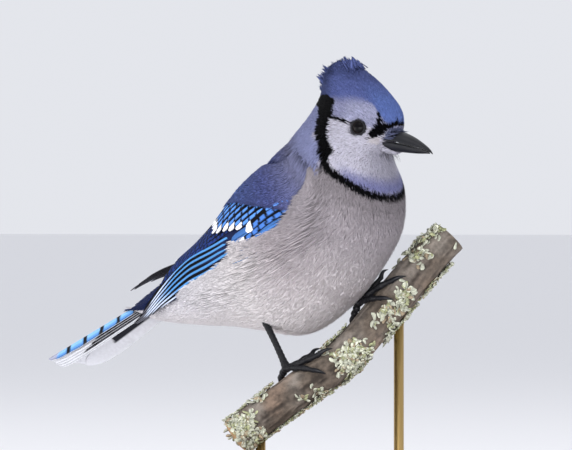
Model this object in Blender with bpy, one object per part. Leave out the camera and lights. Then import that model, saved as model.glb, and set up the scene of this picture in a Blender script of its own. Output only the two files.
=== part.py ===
"""A life-size museum model of a perched blue jay, on a short length of branch held by a stand.

The bird heads along +X, its left side is +Y and +Z is up. The origin is the centre of the
underside of the round base. All tables are in millimetres and are turned to metres on the way out.
The fleshy body is one loft, given by ribs from the root of the tail to the top of the crest, and the
tail root, torso, neck and head are slices of that loft.
"""

import math

import bmesh
import bpy
import numpy as np

MM = 0.001
GAP = 0.3
SEED = 7

# The picture plane of the perch: its line runs at this angle to the heading.
PERCH_YAW = math.radians(42.0)

# Ribs of the body: back point x, z, belly point x, z, half width, and how far forward it is widest.
RIBS = np.array(
    [
        [-100.0, 88.5, -97.0, 84.5, 6.0, 0.0],
        [-84.0, 97.0, -80.0, 80.5, 13.0, 0.0],
        [-66.0, 107.5, -56.0, 79.0, 19.5, 0.0],
        [-50.0, 118.0, -34.0, 78.5, 24.0, 0.0],
        [-36.0, 130.0, -13.0, 76.5, 27.0, 0.0],
        [-22.0, 145.0, 9.5, 75.0, 29.0, 0.0],
        [-11.0, 155.0, 32.0, 86.5, 30.0, 0.0],
        [-2.0, 163.0, 51.0, 104.5, 30.0, 0.0],
        [5.5, 168.5, 62.5, 122.0, 28.5, -0.05],
        [11.0, 174.0, 63.5, 138.5, 26.0, -0.1],
        [15.5, 178.5, 60.5, 151.0, 21.5, -0.1],
        [19.0, 182.0, 59.0, 160.0, 18.0, -0.05],
        [21.5, 185.5, 62.5, 166.0, 16.0, 0.0],
        [23.0, 188.5, 67.5, 172.0, 14.8, 0.0],
        [24.0, 191.5, 68.0, 178.0, 13.6, 0.0],
        [24.3, 194.5, 65.5, 184.0, 12.2, 0.0],
        [25.3, 197.0, 60.5, 189.0, 9.8, 0.0],
        [26.2, 199.2, 54.5, 194.0, 7.2, 0.0],
        [28.0, 201.3, 48.0, 198.2, 4.6, 0.0],
        [31.0, 203.0, 42.0, 201.8, 2.2, 0.0],
    ]
)
TAIL_END = 1.5
TORSO_END = 9.6
NECK_END = 11.3
HEAD_END = float(len(RIBS) - 1)
BODY_SEGMENTS = 24

# The head is turned a little to the bird's left about an upright line through its middle.
HEAD_TURN = math.radians(6.0)
HEAD_PIVOT = 42.0
TURN_FROM, TURN_TO = 9.0, 12.0

EYE_CENTRE = (52.6, 10.4, 173.8)
EYE_RADIUS = 4.3
EYE_FACETS = (14, 8)
LID_RADIUS, LID_TUBE, LID_STEPS = 3.9, 0.75, 14

# Upper bill: x, ridge z, mouth z, half width.
BILL_UPPER = np.array(
    [
        [61.0, 171.6, 167.4, 5.6],
        [66.0, 172.0, 167.0, 5.3],
        [71.0, 171.0, 166.1, 4.7],
        [75.5, 169.2, 165.0, 3.8],
        [79.5, 167.0, 164.1, 2.8],
        [83.0, 164.7, 163.1, 1.8],
        [85.2, 162.9, 162.0, 1.0],
        [86.4, 161.4, 161.0, 0.35],
    ]
)
# Lower bill: x, mouth z, keel z, half width.
BILL_LOWER = np.array(
    [
        [61.0, 167.1, 162.6, 5.0],
        [66.0, 166.7, 162.2, 4.8],
        [71.0, 165.8, 161.8, 4.2],
        [75.5, 164.7, 161.4, 3.2],
        [79.5, 163.8, 161.2, 2.3],
        [83.0, 162.75, 161.2, 1.3],
        [84.9, 161.55, 161.15, 0.4],
    ]
)
BILL_SEAT = 0.45
NOSTRIL = (71.5, 4.1, 169.4)
NOSTRIL_SIZE = (1.5, 0.9, 0.6)

# Crest: layers of feathers on the crown. Each has its count a side, the rib of its roots and of
# its tips, the angle of its first and last root, how far back the tips lean as a share of that
# angle, its feathers' half breadth and how far their tips stand off the crown.
CREST_LAYERS = (
    (5, 13.9, 17.4, 160.0, 24.0, 0.8, 3.4, 0.9),
    (5, 15.2, 19.0, 170.0, 20.0, 0.7, 3.1, 1.3),
    (4, 16.8, 19.6, 150.0, 8.0, 0.5, 2.4, 1.5),
)
CREST_THICK, CREST_TIP_REACH, CREST_BACK_LOW, CREST_BACK_STAND = 0.8, 0.95, 1.5, 1.6

# Share of the length and of the breadth at each station of a long feather, a covert and a
# crest feather.
LONG_VANE = np.array([[0.0, 0.7], [0.45, 1.0], [0.85, 0.92], [1.0, 0.2]])
SHORT_VANE = np.array([[0.0, 0.8], [0.8, 1.0], [1.0, 0.3]])
CREST_SHAPE = np.array([[0.0, 0.8], [0.4, 1.0], [0.75, 0.8], [1.0, 0.12]])

# Tail: ridge root, slope, and the roof shape of the folded fan.
TAIL_ROOT = (-45.0, 112.5)
TAIL_PITCH = math.radians(24.0)
TAIL_PAIRS = 6
TAIL_ROOF = {-1: math.radians(30.0), 1: math.radians(42.0)}
TAIL_LENGTH, TAIL_STEP = 126.0, 2.6
TAIL_THICK, TAIL_START, TAIL_STACK = 0.8, 24.0, 0.6
# Coverts over the root of the tail: start, end, sideways at both, height.
TAIL_COVERTS = (
    (30.0, 66.0, (-5.0, -5.5), 0.9),
    (30.0, 67.0, (5.0, 5.5), 0.9),
    (32.0, 72.0, (-1.8, -2.2), 1.2),
    (32.0, 73.0, (1.8, 2.4), 1.4),
)

# Guide ribs of each folded wing behind the torso, in the same terms as RIBS.
GUIDE_REAR = {
    -1: np.array(
        [
            [-104.0, 91.0, -100.0, 64.0, 13.0, 0.0],
            [-86.0, 99.0, -80.0, 70.0, 16.0, 0.0],
            [-67.0, 110.5, -57.0, 77.0, 21.8, 0.0],
            [-51.0, 120.0, -35.0, 78.0, 26.2, 0.0],
        ]
    ),
    1: np.array(
        [
            [-115.5, 91.5, -111.0, 65.5, 13.0, 0.0],
            [-90.0, 104.0, -84.0, 75.0, 16.0, 0.0],
            [-68.0, 114.5, -58.0, 79.0, 21.8, 0.0],
            [-51.0, 122.0, -35.0, 79.0, 26.2, 0.0],
        ]
    ),
}
WING_LIFT = 1.8
WING_ROUND, WING_CORE_END, WING_CORE_TOP, WING_CORE_LOW = 0.12, 0.6, 0.8, 2.6
# For each wing: guide rib at the wrist and at the tip, then at s = 0, 1/4, 1/2, 3/4 and 1
# the angle down from the back, in degrees, of the lower edge and of the upper edge.
WINGS = {
    -1: (7.9, 1.0, (106, 93, 90, 95, 118), (58, 30, 15, 16, 84)),
    1: (7.6, 0.7, (106, 92, 86, 70, 34), (58, 30, 14, 4, -4)),
}
VANE_THICK = 0.75

# Tiers of one wing: form, count, root and tip as (s, t, change of s, change of t over the tier),
# half breadth in t, height of the roots, height of the first tip and its change over the tier.
WING_TIERS = (
    (LONG_VANE, 6, (0.16, 0.08, 0.16, 0.2), (1.08, 0.08, -0.2, 0.5), 0.16, 0.1, (0.0, 1.5)),
    (LONG_VANE, 5, (0.3, 0.3, 0.04, 0.4), (0.86, 0.44, -0.1, 0.3), 0.14, 0.3, (0.9, 0.6)),
    (LONG_VANE, 3, (0.32, 0.72, 0.0, 0.12), (0.74, 0.76, -0.1, 0.1), 0.16, 0.4, (1.5, 0.5)),
    (SHORT_VANE, 6, (0.17, 0.14, 0.03, 0.7), (0.5, 0.12, 0.02, 0.72), 0.095, 0.4, (1.6, 0.4)),
    (SHORT_VANE, 5, (0.08, 0.22, 0.0, 0.62), (0.33, 0.2, 0.03, 0.66), 0.11, 0.4, (1.8, 0.2)),
    (SHORT_VANE, 2, (0.09, 0.06, 0.0, 0.08), (0.42, 0.04, -0.1, 0.08), 0.09, 0.4, (1.7, 0.3)),
)

# Perch: distance along its line, height, radius.
PERCH = np.array(
    [
        [-26.0, 27.0, 8.4],
        [-16.3, 34.0, 8.6],
        [-5.8, 42.2, 8.7],
        [4.8, 49.8, 8.8],
        [19.2, 59.4, 8.9],
        [29.8, 69.0, 9.0],
        [39.4, 79.6, 9.2],
        [49.0, 91.6, 9.3],
        [57.6, 101.7, 9.3],
        [67.2, 112.7, 9.2],
        [76.0, 122.2, 9.0],
    ]
)
PERCH_DEPTH, PERCH_DEPTH_SLOPE = -22.0, 0.216
PERCH_SEGMENTS = 16

BASE_RADIUS, BASE_HEIGHT, BASE_BEVEL = 75.0, 12.0, 2.0
BASE_SEGMENTS = 36
ROD_RADIUS, ROD_SEGMENTS = 2.4, 12
ROD_SPOTS = {"stand_rod_low": -14.0, "stand_rod_high": 52.0}
ROD_SEAT = 6.0


def smooth_rows(table, position):
    """Rows between the rows of a table, on a curve that passes through each of them."""
    position = np.atleast_1d(np.asarray(position, float))
    last = len(table) - 1
    first = np.clip(np.floor(position).astype(int), 0, last - 1)
    part = (position - first)[:, None]
    before = table[np.maximum(first - 1, 0)]
    here, there = table[first], table[first + 1]
    after = table[np.minimum(first + 2, last)]
    slope_here = (there - before) / 2
    slope_there = (after - here) / 2
    square, cube = part**2, part**3
    return (
        here * (2 * cube - 3 * square + 1)
        + slope_here * (cube - 2 * square + part)
        + there * (3 * square - 2 * cube)
        + slope_there * (cube - square)
    )


def eased(value):
    value = np.clip(value, 0.0, 1.0)
    return value * value * (3 - 2 * value)


def turned(points, amount):
    """Points turned about the head's upright line by a share of the full turn."""
    angle = HEAD_TURN * np.asarray(amount)
    out = np.array(points, float)
    x, y = out[..., 0] - HEAD_PIVOT, out[..., 1]
    out[..., 0] = HEAD_PIVOT + x * np.cos(angle) - y * np.sin(angle)
    out[..., 1] = x * np.sin(angle) + y * np.cos(angle)
    return out


def rib_points(rows, angle):
    """Points on ribs: angle 0 is the back, 90 degrees the right side, 180 degrees the belly."""
    angle = np.asarray(angle)
    along = np.cos(angle)
    middle_x, middle_z = (rows[..., 0] + rows[..., 2]) / 2, (rows[..., 1] + rows[..., 3]) / 2
    half_x, half_z = (rows[..., 0] - rows[..., 2]) / 2, (rows[..., 1] - rows[..., 3]) / 2
    width = rows[..., 4] * (1 + rows[..., 5] * along)
    return np.stack(
        [middle_x + half_x * along, -width * np.sin(angle), middle_z + half_z * along], axis=-1
    )


def body_ring(position, shift=0.0):
    """One ring of the body, moved by shift along the rib plane's normal, towards the head."""
    row = smooth_rows(RIBS, position)[0]
    angles = np.arange(BODY_SEGMENTS) * 2 * math.pi / BODY_SEGMENTS
    ring = rib_points(np.tile(row, (BODY_SEGMENTS, 1)), angles)
    normal = np.array([-(row[3] - row[1]), 0.0, row[2] - row[0]])
    normal /= np.linalg.norm(normal)
    ring = ring + shift * normal
    return turned(ring, eased((position - TURN_FROM) / (TURN_TO - TURN_FROM)))


def material(name, colour, roughness=0.7):
    made = bpy.data.materials.new(name)
    made.use_nodes = True
    shader = made.node_tree.nodes["Principled BSDF"]
    shader.inputs["Base Color"].default_value = (*colour, 1.0)
    shader.inputs["Roughness"].default_value = roughness
    return made


def make_object(name, points, faces, paint=None):
    """A mesh object from points in millimetres, with its faces turned outward."""
    mesh = bpy.data.meshes.new(name)
    mesh.from_pydata((np.asarray(points) * MM).tolist(), [], [list(map(int, f)) for f in faces])
    shape = bmesh.new()
    shape.from_mesh(mesh)
    bmesh.ops.recalc_face_normals(shape, faces=shape.faces)
    shape.to_mesh(mesh)
    shape.free()
    made = bpy.data.objects.new(name, mesh)
    bpy.context.scene.collection.objects.link(made)
    if paint:
        mesh.materials.append(paint)
    return made


def tube_faces(rings, segments):
    """Triangles of a tube of rings, with a fan at each end about one more point."""
    faces = []
    for i in range(rings - 1):
        for j in range(segments):
            a, b = i * segments + j, i * segments + (j + 1) % segments
            c, d = b + segments, a + segments
            faces += [(a, b, c), (a, c, d)]
    first, last = rings * segments, rings * segments + 1
    end = (rings - 1) * segments
    for j in range(segments):
        faces.append((first, (j + 1) % segments, j))
        faces.append((last, end + j, end + (j + 1) % segments))
    return faces


def tube_object(name, rings, paint=None):
    rings = np.asarray(rings, float)
    count, segments = rings.shape[:2]
    points = np.concatenate(
        [rings.reshape(-1, 3), rings[0].mean(axis=0)[None], rings[-1].mean(axis=0)[None]]
    )
    return make_object(name, points, tube_faces(count, segments), paint)


def slab_object(name, top, bottom, paint=None):
    """A thin closed plate between two grids of points, split alike on both faces."""
    rows, columns = top.shape[:2]
    points = np.concatenate([top.reshape(-1, 3), bottom.reshape(-1, 3)])
    under = rows * columns
    faces = []
    for i in range(rows - 1):
        for j in range(columns - 1):
            a, b = i * columns + j, i * columns + j + 1
            c, d = b + columns, a + columns
            faces += [(a, b, c), (a, c, d)]
            faces += [(under + a, under + c, under + b), (under + a, under + d, under + c)]
    rim = [i * columns for i in range(rows)]
    rim += [(rows - 1) * columns + j for j in range(1, columns)]
    rim += [i * columns + columns - 1 for i in range(rows - 2, -1, -1)]
    rim += list(range(columns - 2, 0, -1))
    for a, b in zip(rim, rim[1:] + rim[:1]):
        faces += [(a, under + b, b), (a, under + a, under + b)]
    return make_object(name, points, faces, paint)


def path_rings(path, radii, segments, flat=1.0):
    """Rings about a path, carried along it without twisting. flat scales them upright."""
    path = np.asarray(path, float)
    radii = np.broadcast_to(radii, (len(path),))
    ahead = np.gradient(path, axis=0)
    ahead /= np.linalg.norm(ahead, axis=1)[:, None]
    side = np.cross(ahead[0], (0.0, 0.0, 1.0))
    if np.linalg.norm(side) < 0.2:
        side = np.cross(ahead[0], (0.0, 1.0, 0.0))
    angles = np.arange(segments) * 2 * math.pi / segments
    rings = []
    for point, direction, radius in zip(path, ahead, radii):
        side = side - direction * (side @ direction)
        side = side / np.linalg.norm(side)
        up = np.cross(side, direction)
        ring = np.cos(angles)[:, None] * side + flat * np.sin(angles)[:, None] * up
        rings.append(point + radius * ring)
    return np.array(rings)


def ball_object(name, centre, size, segments=12, rings=8):
    """A ball or an egg, as a tube that closes to a small ring at each end."""
    polar = np.linspace(0.08, 0.92, rings) * math.pi
    angles = np.arange(segments) * 2 * math.pi / segments
    size = np.broadcast_to(size, (3,))
    grid = np.stack(
        [
            np.sin(polar)[:, None] * np.cos(angles) * size[0],
            np.sin(polar)[:, None] * np.sin(angles) * size[1],
            np.repeat(np.cos(polar)[:, None], segments, axis=1) * size[2],
        ],
        axis=-1,
    )
    rings_at = grid + np.asarray(centre)
    points = np.concatenate(
        [rings_at.reshape(-1, 3), [np.asarray(centre) + (0, 0, size[2])], [np.asarray(centre) - (0, 0, size[2])]]
    )
    return make_object(name, points, tube_faces(rings, segments))


def boolean(target, pieces, operation):
    """One Boolean of the pieces on the target, applied, and the pieces removed."""
    group = bpy.data.collections.new(target.name + "_pieces")
    bpy.context.scene.collection.children.link(group)
    for piece in pieces:
        for owner in list(piece.users_collection):
            owner.objects.unlink(piece)
        group.objects.link(piece)
    step = target.modifiers.new("Boolean", "BOOLEAN")
    step.operation = operation
    step.operand_type = "COLLECTION"
    step.collection = group
    step.solver = "MANIFOLD"
    bpy.context.view_layer.update()
    graph = bpy.context.evaluated_depsgraph_get()
    mesh = bpy.data.meshes.new_from_object(target.evaluated_get(graph))
    target.modifiers.remove(step)
    target.data = mesh
    for piece in list(pieces):
        bpy.data.objects.remove(piece, do_unlink=True)
    bpy.data.collections.remove(group)
    keep_largest(target)
    return target


def keep_largest(target):
    """Drops every loose shell of the mesh but the one with the most faces."""
    shape = bmesh.new()
    shape.from_mesh(target.data)
    bmesh.ops.triangulate(shape, faces=shape.faces)
    shape.faces.ensure_lookup_table()
    seen, shells = set(), []
    for face in shape.faces:
        if face.index in seen:
            continue
        shell, waiting = [], [face]
        seen.add(face.index)
        while waiting:
            now = waiting.pop()
            shell.append(now)
            for edge in now.edges:
                for other in edge.link_faces:
                    if other.index not in seen:
                        seen.add(other.index)
                        waiting.append(other)
        shells.append(shell)
    shells.sort(key=len, reverse=True)
    for shell in shells[1:]:
        bmesh.ops.delete(shape, geom=shell, context="FACES")
    loose = [v for v in shape.verts if not v.link_faces]
    bmesh.ops.delete(shape, geom=loose, context="VERTS")
    shape.to_mesh(target.data)
    shape.free()


def wing_guide(side, s, t, height):
    """A point of the folded wing: s runs from wrist to tip, t from lower to upper edge."""
    start, end, lower, upper = WINGS[side]
    s, t = np.asarray(s, float), np.asarray(t, float)
    rows = RIBS[:10].copy()
    axis = rows[:, [0, 1]] - rows[:, [2, 3]]
    length = np.linalg.norm(axis, axis=1)[:, None]
    rows[:, [0, 1]] += WING_LIFT * axis / length
    rows[:, [2, 3]] -= WING_LIFT * axis / length
    rows[:, 4] += WING_LIFT
    rows[:4] = GUIDE_REAR[side]
    angle_table = np.array([lower, upper], float).T

    def point(s_now, t_now):
        shape = s_now.shape
        position = start + (end - start) * s_now.ravel()
        row = smooth_rows(rows, position)
        angles = smooth_rows(angle_table, np.clip(s_now.ravel(), -0.1, 1.1) * 4)
        angle = np.radians(angles[:, 0] + (angles[:, 1] - angles[:, 0]) * t_now.ravel())
        found = rib_points(row, angle)
        found[:, 1] *= -side
        return found.reshape(shape + (3,))

    step = 1e-3
    here = point(s, t)
    along = point(s + step, t) - here
    across = point(s, t + step) - here
    normal = np.cross(along, across) * side
    normal /= np.linalg.norm(normal, axis=-1)[..., None]
    return here + normal * np.asarray(height)[..., None]


def wing_vane(side, root, tip, width, rise, form=LONG_VANE, tilt=0.3, bow=0.0):
    """One feather on the wing. root and tip are (s, t); width is half its breadth in t; rise is
    the height of its root and tip; tilt lifts its lower edge over its neighbour."""
    part, shape = form.T
    s = root[0] + (tip[0] - root[0]) * part
    t = root[1] + (tip[1] - root[1]) * part + bow * np.sin(part * math.pi)
    height = rise[0] + (rise[1] - rise[0]) * eased(part * 1.6)
    across = np.array([-1.0, 1.0])
    s_grid = np.repeat(s[:, None], 2, axis=1)
    t_grid = t[:, None] + width * shape[:, None] * across
    top_height = height[:, None] - tilt * across * shape[:, None]
    top = wing_guide(side, s_grid, t_grid, top_height)
    bottom = wing_guide(side, s_grid, t_grid, top_height - VANE_THICK)
    return slab_object("vane", top, bottom)


def wing_feathers(side):
    """The tiers of one wing, from the longest under tier to the coverts on top."""
    made = []
    chance = np.random.default_rng(SEED + side)
    for form, count, root, tip, width, low, high in WING_TIERS:
        for i in range(count):
            k = i / (count - 1)
            root_at = (root[0] + root[2] * k, root[1] + root[3] * k)
            tip_at = (tip[0] + tip[2] * k + chance.normal(0, 0.007), tip[1] + tip[3] * k)
            rise = (low, high[0] + high[1] * k + chance.normal(0, 0.05))
            made.append(wing_vane(side, root_at, tip_at, width, rise, form))
    return made


def make_wing(side, name, paint):
    along, t = np.meshgrid(np.linspace(0.0, 1.0, 8), np.linspace(0.03, 0.97, 6), indexing="ij")
    start = WING_ROUND * np.abs(2 * t - 0.9) ** 2.5
    s = start + (WING_CORE_END - start) * along
    rim = np.clip(5 * np.minimum(t, 1 - t) + 0.3, 0, 1) * np.clip(5 * along + 0.4, 0, 1)
    top = wing_guide(side, s, t, WING_CORE_TOP * rim * (1 - 0.8 * along))
    bottom = wing_guide(side, s, t, -WING_CORE_LOW * (1 - 0.6 * along))
    core = slab_object(name, top, bottom, paint)
    return boolean(core, wing_feathers(side), "UNION")


def tail_point(length, lateral, height):
    """A point of the folded tail: the roof curve bends each side down from the ridge."""
    length, lateral = np.asarray(length, float), np.asarray(lateral, float)
    slope = np.where(lateral < 0, TAIL_ROOF[-1], TAIL_ROOF[1])
    bend = 4.0
    size = np.abs(lateral)
    flat = np.minimum(size, bend)
    down = np.sin(slope) * (flat**2 / (2 * bend) + np.maximum(size - bend, 0))
    out = flat * (1 - (1 - np.cos(slope)) * flat / (2 * bend)) + np.cos(slope) * np.maximum(size - bend, 0)
    lift = np.asarray(height) - down
    x = TAIL_ROOT[0] - length * math.cos(TAIL_PITCH) - lift * math.sin(TAIL_PITCH)
    z = TAIL_ROOT[1] - length * math.sin(TAIL_PITCH) + lift * math.cos(TAIL_PITCH)
    return np.stack([x, np.sign(lateral) * out, z], axis=-1)


def tail_vane(start, end, lateral, width, height, form, columns, thick=TAIL_THICK):
    """One feather on the folded tail. lateral and width are each a pair: at its root and its tip."""
    part, shape = form.T
    along = np.repeat((start + (end - start) * part)[:, None], columns, axis=1)
    across = np.linspace(-1.0, 1.0, columns)
    centre = lateral[0] + (lateral[1] - lateral[0]) * part
    half = (width[0] + (width[1] - width[0]) * eased(part * 1.5)) * shape
    level = height + 0.35 * (1 - across**2)[None, :] * shape[:, None]
    sideways = centre[:, None] + half[:, None] * across
    top = tail_point(along, sideways, level)
    bottom = tail_point(along, sideways, level - thick)
    return slab_object("tail feather", top, bottom)


def make_tail(name, paint):
    positions = np.linspace(0.0, TAIL_END, 5)
    rings = [body_ring(p) for p in positions]
    rings[-1] = body_ring(TAIL_END, -GAP / 2)
    core = tube_object(name, rings, paint)
    made = []
    chance = np.random.default_rng(SEED)
    for pair in range(TAIL_PAIRS):
        for side in (-1, 1):
            end = TAIL_LENGTH - TAIL_STEP * pair - 2 * chance.random()
            lateral = (side * (0.6 + 0.5 * pair), side * (1.7 + 1.25 * pair))
            height = -TAIL_STACK * pair - 0.2 * (side > 0)
            columns = 3 if pair < 1 else 2
            made.append(tail_vane(TAIL_START, end, lateral, (3.8, 7.0), height, LONG_VANE, columns))
    for start, end, lateral, height in TAIL_COVERTS:
        made.append(tail_vane(start, end, lateral, (3.4, 4.6), height, SHORT_VANE, 2, 1.0))
    return boolean(core, made, "UNION")


def make_slice(name, start, end, count, paint):
    """A slice of the body between two ribs, with a flat face at each end."""
    positions = np.linspace(start, end, count)
    rings = [body_ring(p) for p in positions]
    rings[0] = body_ring(start, GAP / 2)
    rings[-1] = body_ring(end, -GAP / 2)
    return tube_object(name, rings, paint)


def bill_rings(table, grow, upper):
    """Rings of one half of the bill, from its root to its tip. grow makes the seat around it."""
    rings = []
    for x, high, low, half in table:
        high, low, half = high + grow, low - grow, half + grow
        middle = low + 0.45 * (high - low) if upper else low + 0.55 * (high - low)
        if upper:
            profile = [(-half, low), (-0.86 * half, middle), (-0.42 * half, high - 0.16 * (high - low)), (0, high)]
        else:
            profile = [(-half, high), (-0.86 * half, middle), (-0.42 * half, low + 0.16 * (high - low)), (0, low)]
        profile += [(-y, z) for y, z in profile[-2::-1]]
        rings.append([(x, y, z) for y, z in profile])
    return np.array(rings)


def make_bill(name, table, upper, paint, grow=0.0):
    rings = bill_rings(table, grow, upper)
    if grow:
        rings[0, :, 0] -= grow
    return tube_object(name, turned(rings, 1.0), paint)


def scalp(position, angle, height):
    """Points off the head's surface: rib position, angle in degrees and height."""
    position, angle = np.broadcast_arrays(np.asarray(position, float), np.asarray(angle, float))
    shape = position.shape

    def point(at, turn):
        inside = np.clip(at, 0.0, HEAD_END)
        row = smooth_rows(RIBS, inside.ravel())
        beyond = (at - inside).ravel()[:, None]
        row = row + beyond * (row - smooth_rows(RIBS, inside.ravel() - 0.5)) * 2
        row[:, 4] = np.maximum(row[:, 4], 0.6)
        return rib_points(row, np.radians(turn).ravel()).reshape(shape + (3,))

    here = point(position, angle)
    along = here - point(position - 0.05, angle)
    around = point(position, angle + 0.5) - point(position, angle - 0.5)
    normal = np.cross(around, along)
    normal /= np.linalg.norm(normal, axis=-1)[..., None]
    return turned(here + normal * np.asarray(height)[..., None], 1.0)


def crest_vanes():
    """Feathers of the crest in layers, rising from the crown and leaning back to their tips."""
    made = []
    part, shape = CREST_SHAPE.T
    chance = np.random.default_rng(SEED)
    for count, low, high, front, back, lean, half, stand in CREST_LAYERS:
        for i in range(count):
            back_share = i / (count - 1)
            root = front + (back - front) * back_share
            lift = stand + CREST_BACK_STAND * back_share
            for side in (-1, 1):
                high_now = high - CREST_BACK_LOW * back_share - 0.3 * chance.random()
                position = low + (high_now - low) * part
                angle = side * (root + (root * lean - root) * part)
                height = -0.2 + (lift + 0.2) * part**1.6 + 0.1 * (side + 1)
                middle = scalp(position, angle, height)
                reach = (middle[-2] - middle[-3]) * CREST_TIP_REACH
                middle[-1] = middle[-2] + reach
                beside = scalp(position, angle + 1.0, height) - scalp(position, angle, height)
                beside /= np.linalg.norm(beside, axis=1)[:, None]
                ahead = np.gradient(middle, axis=0)
                ahead /= np.linalg.norm(ahead, axis=1)[:, None]
                beside -= ahead * np.sum(ahead * beside, axis=1)[:, None]
                beside /= np.linalg.norm(beside, axis=1)[:, None]
                up = np.cross(beside, ahead)
                across = np.array([-1.0, 1.0])[None, :, None]
                top = middle[:, None] + (half * shape)[:, None, None] * across * beside[:, None]
                bottom = top - CREST_THICK * up[:, None]
                made.append(slab_object("crest", top, bottom))
    return made


def lid_object(side):
    """The ring of lid about one eye."""
    centre = np.array([EYE_CENTRE[0] + 0.3, side * (EYE_CENTRE[1] + 2.4), EYE_CENTRE[2] + 0.1])
    angles = np.arange(LID_STEPS + 1) * 2 * math.pi / LID_STEPS
    path = centre + LID_RADIUS * np.stack(
        [np.cos(angles), side * 0.12 * np.cos(angles + 2.5), 0.95 * np.sin(angles)], axis=-1
    )
    segments = 5
    rings = []
    for i, angle in enumerate(angles[:-1]):
        out = np.array([math.cos(angle), 0.0, 0.95 * math.sin(angle)])
        turn = np.arange(segments) * 2 * math.pi / segments
        ring = path[i] + LID_TUBE * (
            np.cos(turn)[:, None] * out + np.sin(turn)[:, None] * np.array([0.0, 1.5, 0.0])
        )
        rings.append(ring)
    rings = turned(np.array(rings), 1.0)
    count = len(rings)
    faces = []
    for i in range(count):
        for j in range(segments):
            a, b = i * segments + j, i * segments + (j + 1) % segments
            d = (i + 1) % count * segments + j
            c = (i + 1) % count * segments + (j + 1) % segments
            faces += [(a, b, c), (a, c, d)]
    return make_object("lid", rings.reshape(-1, 3), faces)


def eye_spot(side):
    return turned(np.array([EYE_CENTRE[0], side * EYE_CENTRE[1], EYE_CENTRE[2]]), 1.0)


def make_head(paint):
    head = make_slice("head", NECK_END, HEAD_END, 10, paint)
    boolean(head, [lid_object(-1), lid_object(1), *crest_vanes()], "UNION")
    seats = [
        ball_object("socket", eye_spot(-1), EYE_RADIUS + GAP, *EYE_FACETS),
        ball_object("socket", eye_spot(1), EYE_RADIUS + GAP, *EYE_FACETS),
        make_bill("seat", BILL_UPPER, True, None, BILL_SEAT),
        make_bill("seat", BILL_LOWER, False, None, BILL_SEAT),
    ]
    for side in (-1, 1):
        gape = np.array([[70.0, 5.4, 166.8], [64.5, 8.6, 167.4], [59.5, 12.4, 168.6]])
        gape[:, 1] *= side
        seats.append(tube_object("gape", path_rings(turned(gape, 1.0), [0.7, 0.6, 0.35], 5)))
    return boolean(head, seats, "DIFFERENCE")


def perch_frame(distance):
    """Centre, direction, upper normal and radius of the perch at a distance along its line."""
    table_at = np.interp(distance, PERCH[:, 0], np.arange(len(PERCH)))

    def centre(at):
        row = smooth_rows(PERCH, at)
        depth = PERCH_DEPTH + PERCH_DEPTH_SLOPE * row[:, 0]
        x = row[:, 0] * math.cos(PERCH_YAW) - depth * math.sin(PERCH_YAW)
        y = row[:, 0] * math.sin(PERCH_YAW) + depth * math.cos(PERCH_YAW)
        return np.stack([x, y, row[:, 1]], axis=-1), row[:, 2]

    here, radius = centre(table_at)
    ahead = centre(np.atleast_1d(table_at) + 0.01)[0] - centre(np.atleast_1d(table_at) - 0.01)[0]
    ahead /= np.linalg.norm(ahead, axis=1)[:, None]
    camera_side = np.cross(ahead, (0.0, 0.0, 1.0))
    camera_side /= np.linalg.norm(camera_side, axis=1)[:, None]
    upper = np.cross(camera_side, ahead)
    return here, ahead, upper, camera_side, radius


def perch_point(distance, around, lift):
    """A point above the bark: around is the angle from its top towards the right side."""
    here, _, upper, right, radius = perch_frame(distance)
    around = np.atleast_1d(np.radians(around))[:, None]
    out = np.cos(around) * upper + np.sin(around) * right
    return here + out * (radius + np.atleast_1d(lift))[:, None]


def make_perch(paint):
    distance = np.linspace(PERCH[0, 0], PERCH[-1, 0], 11)
    here, ahead, upper, right, radius = perch_frame(distance)
    angles = np.arange(PERCH_SEGMENTS) * 2 * math.pi / PERCH_SEGMENTS
    rings = here[:, None] + radius[:, None, None] * (
        np.cos(angles)[None, :, None] * upper[:, None] + np.sin(angles)[None, :, None] * right[:, None]
    )
    perch = tube_object("perch", rings, paint)
    holes = []
    for spot in ROD_SPOTS.values():
        centre = perch_frame(spot)[0][0]
        path = np.array([[centre[0], centre[1], 0.0], [centre[0], centre[1], centre[2]]])
        holes.append(tube_object("hole", path_rings(path, ROD_RADIUS + GAP, ROD_SEGMENTS)))
    return boolean(perch, holes, "DIFFERENCE")


def make_stand(paint, metal):
    profile = [
        (BASE_RADIUS - BASE_BEVEL / 2, 0.0),
        (BASE_RADIUS, BASE_BEVEL / 2),
        (BASE_RADIUS, BASE_HEIGHT - BASE_BEVEL),
        (BASE_RADIUS - BASE_BEVEL, BASE_HEIGHT),
    ]
    angles = np.arange(BASE_SEGMENTS) * 2 * math.pi / BASE_SEGMENTS
    rings = [[(r * math.cos(a), r * math.sin(a), z) for a in angles] for r, z in profile]
    base = tube_object("stand_base", rings, paint)
    holes = []
    for name, spot in ROD_SPOTS.items():
        centre = perch_frame(spot)[0][0]
        foot, head = BASE_HEIGHT - ROD_SEAT, centre[2] - GAP
        path = np.array([[centre[0], centre[1], foot], [centre[0], centre[1], head]])
        tube_object(name, path_rings(path, ROD_RADIUS, ROD_SEGMENTS), metal)
        path = np.array([[centre[0], centre[1], foot - GAP], [centre[0], centre[1], head]])
        holes.append(tube_object("hole", path_rings(path, ROD_RADIUS + GAP, ROD_SEGMENTS)))
    return boolean(base, holes, "DIFFERENCE")


# For each foot: its place along the perch and around it, and where its heel is inside the body.
FEET = {
    "right": (4.5, 2.0, (-7.5, -14.0, 87.0)),
    "left": (42.0, -12.0, (8.0, 14.0, 91.0)),
}
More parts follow.
